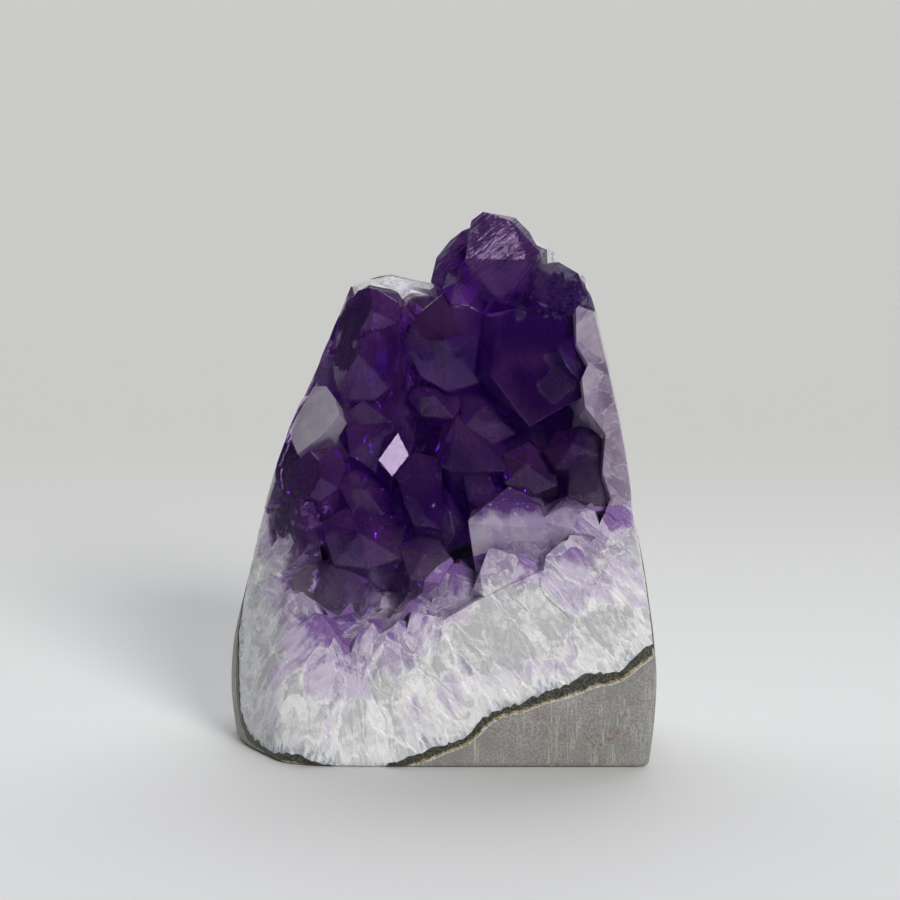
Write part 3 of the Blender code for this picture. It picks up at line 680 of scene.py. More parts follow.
def standing_crystals(chance):
    """The large crystals and those of even shape, each as its planes."""
    made = [large_planes(*row) for row in LARGE_CRYSTALS]
    for x, height, back, radius, right, up, twist in CRYSTALS:
        apex = Vector((x, front_at(height) + back, height))
        forward = math.sqrt(max(LEAST_FORWARD**2, 1 - right**2 - up**2))
        axis = Vector((right, -forward, up)).normalized()
        made.append(even_planes(apex, axis, radius, twist, chance))
    return made


def near_form(point, margin):
    """True within the margin of the ground outline's box and under the broken upper edge."""
    left, right, front, back = smooth_table(SIDES, min(max(point.z, 0.0), SIDES[-1][0]))[0]
    wide = left - margin < point.x < right + margin
    deep = front - margin < point.y < back + margin
    edge = np.interp(point.x, [row[0] for row in CROWN], [row[1] for row in CROWN])
    return wide and deep and -margin < point.z < edge - FILL_UNDER_CROWN


def base_share(rise):
    """1 low down, where the ground face cuts deep into the crust, and 0 in its upper part."""
    return np.clip((CRUST_EVEN_FROM - rise) / CRUST_EVEN_FROM, 0.0, 1.0)


def crust_at(rise):
    """The crust's thickness, which grows towards the base, where the ground face cuts it."""
    return CRUST + (CRUST_AT_BASE - CRUST) * base_share(rise)


def fill_crystals(sheet, chance):
    """Crystals on a jittered grid over the whole free face, a little lower than the others."""
    made = []
    count = int(2 * SHEET_HALF / FILL_STEP)
    for row in range(count):
        for column in range(count):
            across = -SHEET_HALF + FILL_STEP * (column + 0.5 * (row % 2))
            rise = -SHEET_HALF + FILL_STEP * row
            across += chance.uniform(-FILL_JITTER, FILL_JITTER)
            rise += chance.uniform(-FILL_JITTER, FILL_JITTER)
            over = crust_at(rise) - chance.uniform(*FILL_SUNK)
            radius = chance.uniform(*FILL_RADIUS)
            wobble = Vector([chance.uniform(-FILL_LEAN, FILL_LEAN) for _ in range(3)])
            apex = sheet.point(across, rise, over)
            if not near_form(apex, FILL_REACH):
                continue
            axis = (sheet.normal(across, rise) + GROWTH + wobble).normalized()
            made.append(even_planes(apex, axis, radius, chance.uniform(0, SIXTH_TURN), chance))
    return made


def combined(thing, operation, others):
    """Runs one Boolean with a list of objects, keeps the result in the first, drops the rest."""
    group = bpy.data.collections.new("operands")
    bpy.context.scene.collection.children.link(group)
    for other in others:
        for owner in other.users_collection:
            owner.objects.unlink(other)
        group.objects.link(other)
    modifier = thing.modifiers.new("join", "BOOLEAN")
    modifier.operation = operation
    modifier.solver = "MANIFOLD"
    modifier.operand_type = "COLLECTION"
    modifier.collection = group
    graph = bpy.context.evaluated_depsgraph_get()
    thing.data = bpy.data.meshes.new_from_object(thing.evaluated_get(graph))
    thing.modifiers.clear()
    for other in others:
        bpy.data.objects.remove(other)
    bpy.data.collections.remove(group)
    return thing


def keep_main_body(thing):
    """Drops every closed shell but the largest, so no chip is left in the air."""
    shape = bmesh.new()
    shape.from_mesh(thing.data)
    left, islands = set(shape.faces), []
    while left:
        start = next(iter(left))
        island, border = {start}, [start]
        while border:
            for edge in border.pop().edges:
                for other in edge.link_faces:
                    if other not in island:
                        island.add(other)
                        border.append(other)
        islands.append(island)
        left -= island
    main = max(islands, key=len)
    extra = [face for face in shape.faces if face not in main]
    bmesh.ops.delete(shape, geom=extra, context="FACES")
    shape.to_mesh(thing.data)
    shape.free()


def points_of(thing):
    """The vertices of a mesh, in millimetres."""
    found = np.empty(len(thing.data.vertices) * 3, np.float32)
    thing.data.vertices.foreach_get("co", found)
    return found.reshape(-1, 3).astype(float) / MM


def set_values(thing, name, values):
    """Stores one number for each vertex, for the materials to read."""
    layer = thing.data.attributes.new(name, "FLOAT", "POINT")
    layer.data.foreach_set("value", np.asarray(values, np.float32))


class Grains:
    """Elongated cells that follow the growth: which grain a point is in, and how near its border."""

    def __init__(self, sheet, width, length, seed):
        self.sheet = sheet
        self.scale = np.array([1 / width, 1 / width, 1 / length])
        low = np.array(GRAINS_FROM) * self.scale
        high = np.array(GRAINS_TO) * self.scale
        count = int(np.prod(high - low))
        chance = np.random.default_rng(seed)
        self.seeds = chance.uniform(low, high, (count, 3))
        self.tone = chance.uniform(0, 1, count)
        self.tilt = chance.normal(0, 1, (count, 3))
        self.tree = kdtree.KDTree(count)
        for i, seed_point in enumerate(self.seeds):
            self.tree.insert(seed_point, i)
        self.tree.balance()

    def read(self, points):
        """For each point: its grain's tone, how far the grain's border is, and its facet's depth."""
        return self.read_space(self.sheet.grain_space(points))

    def read_space(self, space):
        """The same for points that are already in grain space."""
        space = space * self.scale
        tone, border, facet = (np.empty(len(space)) for _ in range(3))
        for i, place in enumerate(space):
            (_, first, near), (_, _, far) = self.tree.find_n(place, 2)
            tone[i] = self.tone[first]
            border[i] = far - near
            facet[i] = (self.tilt[first] * (place - self.seeds[first])).sum()
        return tone, border, facet


sheet = ContactSheet()
chance = random.Random(SEED)
crystals = standing_crystals(chance) + fill_crystals(sheet, chance)
cut_crystals = [large_planes(*row) for row in CUT_CRYSTALS]
fine_grains = Grains(sheet, width=1.7, length=4.0, seed=11)
coarse_grains = Grains(sheet, width=4.6, length=15.0, seed=12)


def roughness_of_back(points):
    """How far the unground back of the rock lies inside the form: lumps and pits."""
    back = share_between(points[:, 1], *BACK_STARTS)
    lumps = np.array([noise.noise(Vector(p) * LUMP_SCALE) for p in points])
    small = np.array([noise.fractal(Vector(p) * SMALL_LUMP_SCALE, 0.9, 2.0, 3) for p in points])
    return ROCK_INSIDE + back * (BACK_DEPTH + LUMP_HEIGHT * lumps + SMALL_LUMP_HEIGHT * small)


def cut_to_form(thing, depth, around, rows):
    """Leaves what is inside the ground outline and under the broken upper edge."""
    combined(thing, "INTERSECT", [ground_form("form", depth, around, rows)])
    return combined(thing, "INTERSECT", [crown_block("crown")])


def make_basalt():
    """Everything under the contact sheet, with a rough back."""
    rock = wall_slab("basalt_rock", sheet, None, 0.0, step=1.6)
    cut_to_form(rock, roughness_of_back, around=240, rows=130)
    keep_main_body(rock)
    return rock


def lining_top(across, rise):
    """The lining's ragged upper face."""
    top = LINING
    for scale, shift, height in LINING_WAVES:
        wave = [noise.noise(Vector((a * scale, r * scale, shift))) for a, r in zip(across, rise)]
        top = top + height * np.array(wave)
    return top


def make_lining():
    """The thin banded skin on the basalt."""
    lining = wall_slab("banded_lining_skin", sheet, LINING_LOW, lining_top, step=0.8)
    cut_to_form(lining, LINING_INSIDE, around=240, rows=130)
    keep_main_body(lining)
    set_values(lining, "off_contact", sheet.grain_space(points_of(lining))[:, 2])
    return lining


def grain_depth(points):
    """How deep the ground face of the quartz lies in each grain: small steps and tilted facets."""
    over = sheet.grain_space(points)[:, 2]
    tone, _, facet = coarse_grains.read(points)
    small_tone, _, small_facet = fine_grains.read(points)
    coarse = COARSE_STEP * tone + COARSE_TILT * facet
    fine = FINE_STEP * small_tone + FINE_TILT * small_facet
    share = share_between(over, *GRAINS_GROW)
    return MILKY_INSIDE + np.clip(coarse * share + fine * (1.0 - FINE_FADES * share), 0.0, GRAIN_DEEPEST)


def milky_thickness(across, rise):
    """How thick the milky quartz is: most at the base, least at the top."""
    thin = share_between(rise, *MILKY_THINS)
    thick = MILKY + (MILKY_AT_BASE - MILKY) * base_share(rise) + (MILKY_AT_TOP - MILKY) * thin
    for centre_across, centre_rise, radius, more in MILKY_SWELLS:
        apart = (across - centre_across) ** 2 + (rise - centre_rise) ** 2
        thick = thick + more * np.exp(-apart / radius**2)
    return thick


def violet_start(across, rise):
    """Where the clear violet quartz starts: a ragged line that steps from grain to grain."""
    _, _, longer = sheet.slopes(across, rise)
    thick = milky_thickness(across, rise)
    tone, _, _ = coarse_grains.read_space(np.column_stack([across, rise, thick]))
    return (VIOLET_START + VIOLET_RAGGED * (tone - 0.5)) * thick * longer


def violet_share(points):
    """0 where the violet quartz starts and 1 where it is deepest in colour."""
    wall = points @ WALL.T
    off = sheet.grain_space(points)[:, 2]
    start = VIOLET_START * milky_thickness(wall[:, 0], wall[:, 1])
    return share_between(off, start, start + VIOLET_DEEPENS)


def lilac_share(points):
    """0 where the milky quartz is white and 1 at its top, where it is violet."""
    wall = points @ WALL.T
    share = sheet.grain_space(points)[:, 2] / milky_thickness(wall[:, 0], wall[:, 1])
    white = share_between(wall[:, 1], *WHITE_ABOVE)
    return share_between(share, LILAC_FROM, 1.0) * (1.0 - white)


def whole_crust(name, low, standing, edge):
    """The solid crust with crystals on it, before it is ground."""
    crust = wall_slab(name, sheet, low, lambda a, r: crust_at(r) - FREE_LENGTH, step=3.0)
    combined(crust, "INTERSECT", [crown_block("crown")])
    return combined(crust, "UNION", [solid_inside(planes, edge) for planes in standing])


def set_growth(thing, points):
    """Stores each vertex's place in the grown quartz."""
    space = sheet.grain_space(points)
    for axis, name in enumerate(GROWTH_VALUES):
        set_values(thing, name, space[:, axis])


def make_milky_quartz():
    """The white and lilac roots of the crust, up to where the clear violet starts."""
    quartz = whole_crust("milky_quartz", CRUST_LOW, crystals + cut_crystals, edge=0.0)
    combined(quartz, "INTERSECT", [ground_form("form", grain_depth, around=520, rows=260)])
    combined(quartz, "INTERSECT", [wall_slab("roots", sheet, CRUST_LOW, violet_start, step=1.2)])
    combined(quartz, "DIFFERENCE", [pale_body(PALE_GAP)])
    keep_main_body(quartz)
    points = points_of(quartz)
    tone, border, _ = fine_grains.read(points)
    set_growth(quartz, points)
    set_values(quartz, "lilac_share", lilac_share(points))
    set_values(quartz, "small_tone", tone)
    set_values(quartz, "small_border", border)
    return quartz


def pale_body(grown):
    """The crystals that the ground face cuts, a little larger all round, above the milky quartz."""
    first, *others = [
        solid_inside([(normal, reach + grown) for normal, reach in planes], 0.0) for planes in cut_crystals
    ]
    bpy.context.scene.collection.objects.link(first)
    combined(first, "UNION", others)
    under = wall_slab("under", sheet, None, lambda a, r: violet_start(a, r) - grown, step=1.2)
    combined(first, "DIFFERENCE", [under])
    return first


def make_pale_quartz():
    """The cut crystals: clear lilac quartz that ends flush with the ground face."""
    pale = pale_body(0.0)
    pale.name = "pale_crystals"
    cut_to_form(pale, PALE_INSIDE, around=300, rows=120)
    points = points_of(pale)
    set_growth(pale, points)
    deep = share_between(points[:, 2], *PALE_VIOLET)
    wall = points @ WALL.T
    low_down = np.clip(3.0 * base_share(wall[:, 1]), 0.0, 1.0)
    at_rim = share_between(wall[:, 0], *PALE_RIM)
    set_values(pale, "rim_share", at_rim)
    set_values(pale, "violet_share", deep * low_down * (1.0 - at_rim))
    return pale


def druses(thing):
    """Small crystals that crust over parts of the large ones, standing on the faces they meet."""
    chance = random.Random(SEED + 2)
    faces = BVHTree.FromObject(thing, bpy.context.evaluated_depsgraph_get())
    made = []
    for x, height, wide, tall, count in DRUSES:
        for _ in range(count):
            turn, share = chance.uniform(0, math.tau), math.sqrt(chance.uniform(0, 1))
            aside, above = wide * share * math.cos(turn), tall * share * math.sin(turn)
            aim = Vector((x + aside, DRUSE_AIM_Y, height + above))
            place, normal, _, _ = faces.ray_cast((aim - DRUSE_VIEW * DRUSE_START) * MM, DRUSE_VIEW)
            radius = chance.uniform(*DRUSE_RADIUS)
            lean = Vector([chance.uniform(-DRUSE_LEAN, DRUSE_LEAN) for _ in range(3)])
            twist = chance.uniform(0, SIXTH_TURN)
            if place is None:
                continue
            axis = (normal + GROWTH + lean).normalized()
            tip = place / MM + axis * radius * DRUSE_STANDS
            if tip.y < front_at(tip.z) + DRUSE_INSIDE:
                continue
            made.append(solid_inside(even_planes(tip, axis, radius, twist, chance, DRUSE_LENGTH), 0.0))
    return made


def make_violet():
    """The clear violet ends of the crystals, crusted with small ones."""
    violet = whole_crust("amethyst_crystals", VIOLET_LOW, crystals, EDGE_WIDTH)
    combined(violet, "INTERSECT", [ground_form("form", VIOLET_INSIDE, around=200, rows=60)])
    combined(violet, "UNION", druses(violet))
    under = wall_slab("under", sheet, None, lambda a, r: violet_start(a, r) + VIOLET_GAP, step=1.2)
    combined(violet, "DIFFERENCE", [under, pale_body(PALE_GAP)])
    keep_main_body(violet)
    set_values(violet, "violet_share", violet_share(points_of(violet)))
    return violet


class Graph:
    """The node graph of a material or world, with short ways to add the nodes that are used here."""

    def __init__(self, owner, coordinates):
        owner.use_nodes = True
        self.nodes, self.links = owner.node_tree.nodes, owner.node_tree.links
        self.place = self.nodes.new("ShaderNodeTexCoord").outputs[coordinates]

    def put(self, socket, value):
        """Links the value if it is a socket, and sets it as a constant if it isn't."""
        if isinstance(value, bpy.types.NodeSocket):
            self.links.new(value, socket)
        elif isinstance(value, tuple) and len(value) == 3 and socket.type == "RGBA":
            socket.default_value = (*value, 1.0)
        else:
            socket.default_value = value

    def add(self, kind, inputs, **settings):
        """The outputs of a new node with these inputs and settings."""
        node = self.nodes.new("ShaderNode" + kind)
        for name, value in settings.items():
            setattr(node, name, value)
        for name, value in inputs.items():
            self.put(node.inputs[name], value)
        return node.outputs

    def stretched(self, scale, turn):
        return self.add("Mapping", {"Vector": self.place, "Rotation": turn, "Scale": scale})["Vector"]

    def noise(self, scale, detail=3.0, rough=0.55, place=None):
        inputs = {"Vector": place or self.place, "Scale": scale, "Detail": detail, "Roughness": rough}
        return self.add("TexNoise", inputs)["Fac"]

    def cells(self, scale, feature="F1", output="Distance", place=None):
        inputs = {"Vector": place or self.place, "Scale": scale}
        return self.add("TexVoronoi", inputs, feature=feature)[output]

    def along(self, direction, scale=1.0):
        """How far a point lies along a direction."""
        inputs = {0: self.place, 1: Vector(direction) * scale}
        return self.add("VectorMath", inputs, operation="DOT_PRODUCT")["Value"]

    def vector(self, x, y, z=0.0):
        return self.add("CombineXYZ", {"X": x, "Y": y, "Z": z})["Vector"]

    def value(self, name):
        return self.add("Attribute", {}, attribute_name=name)["Fac"]

    def growth(self, wide, long, shift=0.0):
        """A place in the grown quartz: across and up the wall, and along the way it grew."""
        places = zip(GROWTH_VALUES, (wide, wide, long))
        return self.vector(*[self.times(self.value(name), scale, shift) for name, scale in places])

    def shards(self, place):
        """The tone of the blocky cell at a place, and how far its border is."""
        tone = self.ranged(self.cells(1.0, "F1", "Color", place), 0.3, 0.7)
        return tone, self.cells(1.0, "DISTANCE_TO_EDGE", "Distance", place)

    def math(self, operation, first, second=0.0, third=0.0):
        return self.add("Math", {0: first, 1: second, 2: third}, operation=operation)[0]

    def times(self, first, second, added=0.0):
        return self.math("MULTIPLY_ADD", first, second, added)

    def plus(self, first, second):
        return self.math("ADD", first, second)

    def ranged(self, value, low, high, to_low=0.0, to_high=1.0):
        """The value mapped from low..high, held at both ends, on a smooth step."""
        inputs = {"Value": value, "From Min": low, "From Max": high, "To Min": to_low, "To Max": to_high}
        return self.add("MapRange", inputs, interpolation_type="SMOOTHSTEP")["Result"]

    def mix(self, share, first, second):
        """A colour between two: input 6, input 7 and output 2 are the node's colours."""
        return self.add("Mix", {"Factor": share, 6: first, 7: second}, data_type="RGBA")[2]

    def bump(self, height, distance, strength=1.0, under=None):
        inputs = {"Strength": strength, "Distance": distance, "Height": height}
        if under is not None:
            inputs["Normal"] = under
        return self.add("Bump", inputs)["Normal"]


class Shader(Graph):
    """A material with one surface."""

    def __init__(self, name, roughness):
        self.material = bpy.data.materials.new(name)
        super().__init__(self.material, "Object")
        self.surface = self.nodes["Principled BSDF"]
        self.surface.inputs["Roughness"].default_value = roughness

    def finish(self, colour=None, roughness=None, normal=None):
        for name, value in (("Base Color", colour), ("Roughness", roughness), ("Normal", normal)):
            if value is not None:
                self.put(self.surface.inputs[name], value)
        return self.material


def violet_material():
    """Clear quartz: violet at the tips and paler at the roots, with pits and fine growth lines, and white
    specks on the frosted pits that are partly painted glints.
    """
    clear_root, pale_root = (0.95, 0.90, 0.97), (0.80, 0.52, 0.92)
    blue_violet, red_violet = (0.26, 0.04, 0.66), (0.74, 0.24, 1.0)
    shader = Shader("violet_quartz", 0.03)
    inputs = shader.surface.inputs
    inputs["Transmission Weight"].default_value = 0.94
    inputs["IOR"].default_value = QUARTZ_IOR
    inputs["Specular Tint"].default_value = (0.62, 0.50, 0.74, 1.0)
    volume = shader.nodes.new("ShaderNodeVolumeAbsorption")
    volume.inputs["Color"].default_value = (0.40, 0.04, 0.66, 1.0)
    volume.inputs["Density"].default_value = 110.0
    shader.links.new(volume.outputs["Volume"], shader.nodes["Material Output"].inputs["Volume"])
    cloud = shader.noise(130.0, 3.0)
    share = shader.plus(shader.value("violet_share"), shader.ranged(cloud, 0.25, 0.75, -0.18, 0.18))
    deep = shader.mix(shader.ranged(shader.noise(60.0, 2.0), 0.42, 0.60), blue_violet, red_violet)
    pale = shader.mix(shader.ranged(share, 0.0, 0.5), clear_root, pale_root)
    colour = shader.mix(shader.ranged(share, 0.35, 1.0), pale, deep)
    pits = shader.cells(4200.0)
    patches = frosted_share(shader, shader.ranged(shader.noise(95.0, 2.0), 0.58, 0.66))
    specks = shader.times(shader.ranged(pits, 0.12, 0.30, 1.0, 0.0), patches)
    # White specks on the frosted pits: partly the frosting's own whiteness, partly painted glints.
    colour = shader.mix(shader.times(specks, 0.8), colour, (0.95, 0.90, 1.0))
    lines = shader.vector(shader.along(STRIAE_ACROSS, 2400.0), shader.along(STRIAE_ALONG, 190.0))
    top = shader.ranged(shader.along((0, 0, 1)), *STRIAE_FROM)
    striae = shader.times(shader.noise(1.0, 2.0, 0.5, lines), top)
    normal = shader.bump(shader.noise(420.0, 2.0), 0.00025, 0.3)
    normal = shader.bump(shader.times(pits, patches), 0.0003, 1.0, normal)
    normal = shader.bump(striae, 0.0005, 0.8, normal)
    return shader.finish(colour, shader.ranged(patches, 0.0, 1.0, 0.03, 0.14), normal)


def frosted_share(shader, patches):
    """The patches with the faces of FROSTED added, each with a ragged border."""
    ragged = shader.ranged(shader.noise(600.0, 3.0), 0.2, 0.8, 0.5, 1.5)
    for x, height, radius in FROSTED:
        aside = shader.math("SUBTRACT", shader.along((1, 0, 0), 1 / MM), x)
        above = shader.math("SUBTRACT", shader.along((0, 0, 1), 1 / MM), height)
        apart = shader.times(shader.times(aside, aside, shader.times(above, above)), ragged)
        patches = shader.math("MAXIMUM", patches, shader.ranged(apart, 0.5 * radius**2, radius**2, 1.0, 0.0))
    return patches


def milky_material():
    """White shards at the rim, then a lilac haze with streaks along the growth, violet at the top."""
    grey_shard, white_shard = (0.58, 0.585, 0.61), (0.99, 0.99, 1.0)
    dark_haze, light_haze = (0.36, 0.29, 0.46), (0.68, 0.61, 0.78)
    grey_sugar, white_sugar = (0.58, 0.59, 0.61), (0.92, 0.93, 0.95)
    blue_grey, blue_white = (0.42, 0.45, 0.50), (0.86, 0.90, 0.96)
    bright_speck, dark_speck = (0.92, 0.95, 0.99), (0.20, 0.21, 0.23)
    shader = Shader("milky_quartz", 0.3)
    off = shader.value("off_contact")
    cloud = shader.noise(260.0, 4.0)
    fibres = shader.noise(1.0, 4.0, 0.6, shader.growth(1.6, 0.35))
    streaks = shader.noise(1.0, 3.0, 0.6, shader.growth(0.5, 0.09))
    fine = shader.noise(1800.0, 3.0)
    bend = shader.ranged(shader.noise(190.0, 3.0), 0.2, 0.8, -0.16, 0.16)
    large_tone, large_border = shader.shards(shader.growth(0.21, 0.08, bend))
    small_tone, small_border = shader.shards(shader.growth(0.50, 0.17, bend))
    tone = shader.times(large_tone, 0.6, shader.times(small_tone, 0.4))
    tone = shader.plus(tone, shader.ranged(cloud, 0.3, 0.7, -0.16, 0.16))
    tone = shader.plus(tone, shader.ranged(shader.noise(900.0, 4.0), 0.3, 0.7, -0.12, 0.12))
    lilac = shader.plus(shader.value("lilac_share"), shader.ranged(streaks, 0.3, 0.7, -0.16, 0.16))
    lilac = shader.plus(lilac, shader.ranged(large_tone, 0.0, 1.0, -0.26, 0.26))
    shards = shader.mix(shader.ranged(tone, 0.1, 0.75), grey_shard, white_shard)
    haze = shader.mix(shader.ranged(tone, 0.1, 0.8), dark_haze, light_haze)
    grain = shader.mix(shader.ranged(lilac, 0.05, 0.40), shards, haze)
    small_edge = shader.times(shader.ranged(small_border, 0.01, 0.08, 1.0, 0.0), 0.4)
    edge = shader.math("MAXIMUM", shader.ranged(large_border, 0.005, 0.05, 1.0, 0.0), small_edge)
    edge = shader.times(edge, shader.ranged(fibres, 0.40, 0.58, 0.0, 0.75))
    edge = shader.times(edge, shader.ranged(lilac, 0.2, 0.8, 1.0, 0.35))
    grain = shader.mix(edge, grain, (0.97, 0.96, 0.98))
    grain = shader.mix(shader.ranged(lilac, 0.62, 1.05), grain, (0.25, 0.13, 0.40))
    sugar = shader.mix(shader.value("small_tone"), grey_sugar, white_sugar)
    small_rim = shader.ranged(shader.value("small_border"), 0.02, 0.16, 1.0, 0.0)
    sugar = shader.mix(small_rim, sugar, (0.96, 0.96, 0.97))
    sugar = shader.mix(shader.ranged(fibres, 0.42, 0.62, 0.0, 0.4), sugar, (0.96, 0.965, 0.98))
    reach = shader.plus(off, shader.ranged(cloud, 0.3, 0.7, -2.5, 2.5))
    colour = shader.mix(shader.ranged(reach, 4.0, 7.0), sugar, grain)
    fringe = shader.mix(shader.ranged(fibres, 0.4, 0.62), blue_grey, blue_white)
    pockets = shader.mix(shader.ranged(shader.cells(1500.0), 0.15, 0.5), bright_speck, dark_speck)
    fringe = shader.mix(shader.ranged(cloud, 0.50, 0.60), fringe, pockets)
    colour = shader.mix(shader.ranged(reach, 1.5, 3.5, 1.0, 0.0), colour, fringe)
    colour = shader.mix(shader.ranged(fine, 0.55, 0.8, 0.0, 0.3), colour, (0.36, 0.36, 0.38))
    normal = shader.bump(fine, 0.0002, 0.5)
    normal = shader.bump(fibres, 0.0004, 0.35, normal)
    return shader.finish(colour, shader.ranged(fine, 0.3, 0.7, 0.18, 0.42), normal)


def pale_material():
    """Cloudy lilac quartz, violet at the tips and white at the roots, with streaks along the growth."""
    dark_lilac, light_lilac = (0.58, 0.44, 0.76), (0.90, 0.83, 0.98)
    dark_rim, light_rim = (0.26, 0.18, 0.34), (0.66, 0.56, 0.72)
    shader = Shader("pale_quartz", 0.07)
    shader.surface.inputs["Transmission Weight"].default_value = 0.4
    shader.surface.inputs["IOR"].default_value = QUARTZ_IOR
    streaks = shader.noise(1.0, 3.0, 0.6, shader.growth(0.9, 0.12))
    bend = shader.ranged(shader.noise(170.0, 2.0), 0.2, 0.8, -0.2, 0.2)
    block_tone, block_border = shader.shards(shader.growth(0.26, 0.10, bend))
    cloud = shader.noise(300.0, 4.0)
    tone = shader.times(block_tone, 0.5, shader.ranged(cloud, 0.35, 0.65, 0.0, 0.5))
    reach = shader.plus(shader.value("off_contact"), shader.ranged(streaks, 0.3, 0.7, -2.0, 2.0))
    at_rim = shader.value("rim_share")
    lilac = shader.mix(tone, dark_lilac, light_lilac)
    lilac = shader.mix(at_rim, lilac, shader.mix(tone, dark_rim, light_rim))
    at_left = shader.ranged(shader.value("grain_across"), -6.0, 0.0, 0.4, 0.0)
    lilac = shader.mix(at_left, lilac, (1.0, 0.94, 1.0))
    colour = shader.mix(shader.ranged(reach, 14.5, 19.0), (0.80, 0.79, 0.82), lilac)
    edge = shader.times(shader.ranged(block_border, 0.01, 0.05, 1.0, 0.0), shader.ranged(streaks, 0.42, 0.62))
    edge = shader.times(edge, shader.ranged(at_rim, 0.0, 1.0, 0.12, 0.6))
    colour = shader.mix(edge, colour, (0.90, 0.87, 0.93))
    deep = shader.plus(shader.value("violet_share"), shader.ranged(cloud, 0.3, 0.7, -0.3, 0.3))
    colour = shader.mix(shader.ranged(deep, 0.1, 0.9), colour, (0.15, 0.06, 0.30))
    specks = shader.ranged(shader.noise(1500.0, 3.0), 0.60, 0.74, 0.0, 0.6)
    colour = shader.mix(specks, colour, (0.92, 0.90, 0.95))
    return shader.finish(colour, shader.ranged(cloud, 0.3, 0.7, 0.05, 0.2), shader.bump(cloud, 0.0004, 0.4))


def rock_material():
    """Grey basalt with scratches and rust on the ground face, lumps and holes at the rough back, with painted
    shade in the holes.
    """
    dark_grain, light_grain = (0.22, 0.218, 0.21), (0.41, 0.406, 0.39)
    shader = Shader("basalt", 0.55)
    lean = (0, math.radians(5), 0)
    scratch = shader.noise(1.0, 3.0, 0.6, shader.stretched((4200.0, 4200.0, 130.0), lean))
    marks = shader.noise(1.0, 2.0, 0.5, shader.stretched((420.0, 420.0, 110.0), lean))
    grain = shader.noise(3200.0, 2.0)
    colour = shader.mix(shader.ranged(grain, 0.3, 0.7), dark_grain, light_grain)
    clouds = shader.ranged(shader.noise(150.0, 3.0), 0.35, 0.7, 0.0, 0.45)
    colour = shader.mix(clouds, colour, (0.21, 0.207, 0.198))
    back = shader.ranged(shader.along((0, 1, 0)), 0.002, 0.010)
    line = shader.times(shader.ranged(scratch, 0.50, 0.62), shader.ranged(marks, 0.46, 0.58))
    line = shader.times(line, shader.ranged(back, 0.0, 1.0, 0.6, 0.0))
    colour = shader.mix(line, colour, (0.58, 0.55, 0.50))
    lumps = shader.times(shader.noise(420.0, 5.0, 0.65), back)
    holes = shader.times(shader.ranged(shader.cells(700.0), 0.10, 0.28, 1.0, 0.0), back)
    # Painted shade: the holes are darkened nearly to black, as if shade fell in their dents.
    colour = shader.mix(shader.times(holes, 0.7), colour, (0.07, 0.068, 0.06))
    spots = shader.ranged(shader.noise(1100.0, 2.0), 0.54, 0.66)
    rust = shader.times(spots, shader.ranged(shader.noise(120.0, 2.0), 0.46, 0.60))
    rust = shader.times(rust, shader.ranged(shader.along((1, 0, 0)), 0.005, 0.034, 0.25, 1.0))
    colour = shader.mix(shader.times(rust, 0.8), colour, (0.26, 0.13, 0.06))
    normal = shader.bump(grain, 0.00012, 0.6)
    normal = shader.bump(scratch, 0.00006, 0.5, normal)
    normal = shader.bump(lumps, 0.0022, 1.0, normal)
    normal = shader.bump(shader.math("SUBTRACT", 1.0, holes), 0.0004, 1.0, normal)
    return shader.finish(colour, shader.ranged(grain, 0.3, 0.7, 0.42, 0.62), normal)


def lining_material():
    """A white agate line on the basalt, a gold-brown one over it, then dark green-black."""
    shader = Shader("banded_lining", 0.4)
    ragged = shader.ranged(shader.noise(900.0), 0.2, 0.8, -0.3, 0.3)
    off = shader.plus(shader.value("off_contact"), ragged)
    speck = shader.noise(2600.0, 3.0)
    dark = shader.mix(shader.ranged(speck, 0.35, 0.7), (0.012, 0.013, 0.010), (0.11, 0.11, 0.085))
    gold = shader.mix(shader.ranged(speck, 0.35, 0.65), (0.19, 0.14, 0.06), (0.52, 0.42, 0.22))
    agate = shader.mix(shader.ranged(speck, 0.35, 0.65), (0.34, 0.34, 0.33), (0.66, 0.67, 0.68))
    colour = shader.mix(shader.ranged(off, 0.25, 0.4), agate, gold)
    colour = shader.mix(shader.ranged(off, 0.55, 0.75), colour, dark)
    return shader.finish(colour, None, shader.bump(speck, 0.0002, 0.6))


def dress(piece, node, material):
    """Gives a piece its material, hangs it under the root body and hides the imported solid that it replaces.
    """
    piece.data.materials.clear()
    piece.data.materials.append(material)
    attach(piece, "root")
    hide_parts(node)


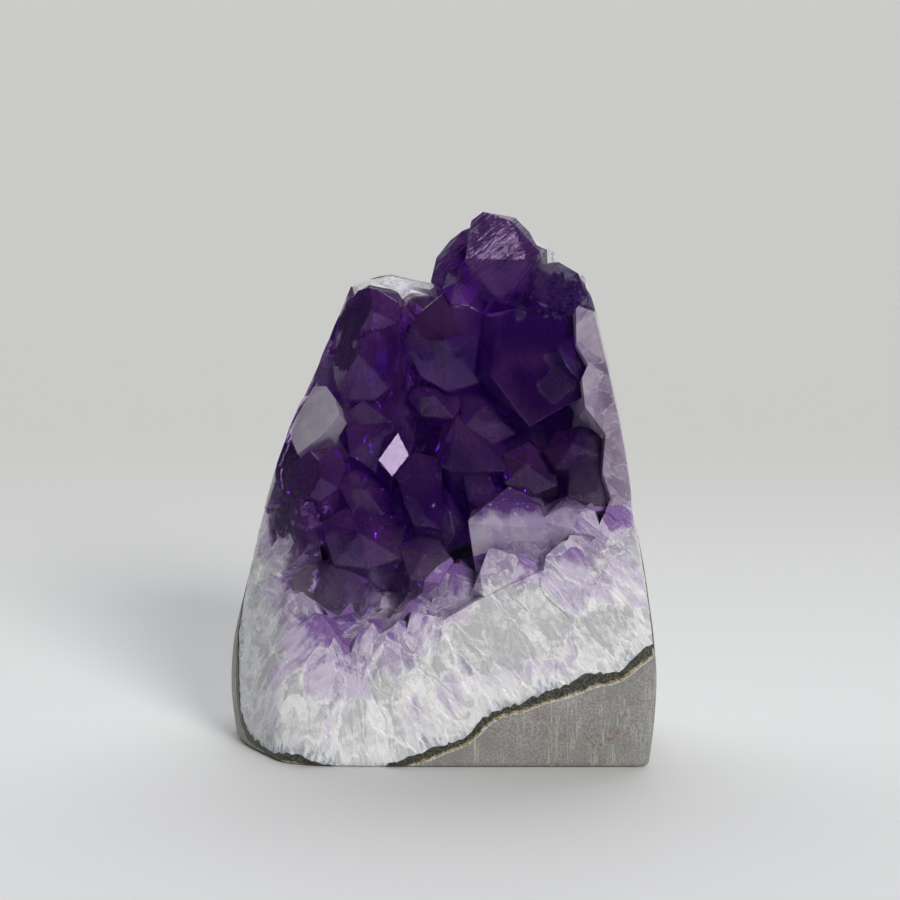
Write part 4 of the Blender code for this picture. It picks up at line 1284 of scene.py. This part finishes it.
def set_stage():
    """A pale floor, a little greyer far behind and dark well in front, out of the picture."""
    near, far, front = (0.90, 0.905, 0.905), (0.72, 0.71, 0.69), (0.12, 0.12, 0.12)
    shader = Shader("pale_surface", 0.6)
    shader.surface.inputs["Specular IOR Level"].default_value = 0.2
    depth = shader.along((0, 1, 0))
    colour = shader.mix(shader.ranged(depth, *FLOOR_GREYS), near, far)
    colour = shader.mix(shader.ranged(depth, *FLOOR_DARKENS), front, colour)
    ways = ((-1, -1), (1, -1), (1, 1), (-1, 1))
    corners = [(FLOOR_HALF * x, FLOOR_HALF * y, 0.0) for x, y in ways]
    floor = mesh_object("floor", corners, [(0, 1, 2, 3)])
    floor.location = FLOOR_PLACE
    floor.data.materials.append(shader.finish(colour))


def set_light():
    """A room that is bright above and behind, dim towards the viewer, and a soft key light."""
    world = bpy.data.worlds.new("studio")
    bpy.context.scene.world = world
    room = Graph(world, "Generated")
    depth, height = room.along((0, 1, 0)), room.along((0, 0, 1))
    behind = room.times(room.ranged(depth, 0.1, 0.6, 0.0, BACK_LIGHT), room.ranged(height, 0.15, 0.45))
    above = room.ranged(height, 0.6, 1.0, 0.0, TOP_LIGHT)
    background = room.nodes["Background"].inputs
    background["Color"].default_value = (0.95, 0.97, 1.0, 1.0)
    room.put(background["Strength"], room.plus(room.plus(behind, above), ROOM_LIGHT))
    sun = bpy.data.lights.new("key", "SUN")
    sun.energy = KEY_LIGHT
    sun.angle = KEY_WIDTH
    sun.color = (1.0, 0.98, 0.95)
    key = bpy.data.objects.new("key", sun)
    key.rotation_euler = KEY_DIRECTION.to_track_quat("Z", "Y").to_euler()
    bpy.context.scene.collection.objects.link(key)


def set_camera():
    """The place the photo was taken from."""
    camera = bpy.data.cameras.new("camera")
    camera.lens = CAMERA_LENS
    camera.sensor_width = CAMERA_SENSOR
    thing = bpy.data.objects.new("camera", camera)
    back = Vector((0, -math.cos(CAMERA_ELEVATION), math.sin(CAMERA_ELEVATION)))
    thing.location = CAMERA_TARGET + CAMERA_DISTANCE * back
    thing.rotation_euler = (math.pi / 2 - CAMERA_ELEVATION, 0, 0)
    bpy.context.scene.collection.objects.link(thing)
    bpy.context.scene.camera = thing


set_camera()
set_stage()
set_light()
dress(make_basalt(), "basalt_rind", rock_material())
dress(make_lining(), "banded_lining", lining_material())
dress(make_milky_quartz(), "quartz_crust", milky_material())
dress(make_pale_quartz(), "quartz_crust", pale_material())
dress(make_violet(), "quartz_crust", violet_material())
bpy.context.scene.view_settings.view_transform = "Standard"
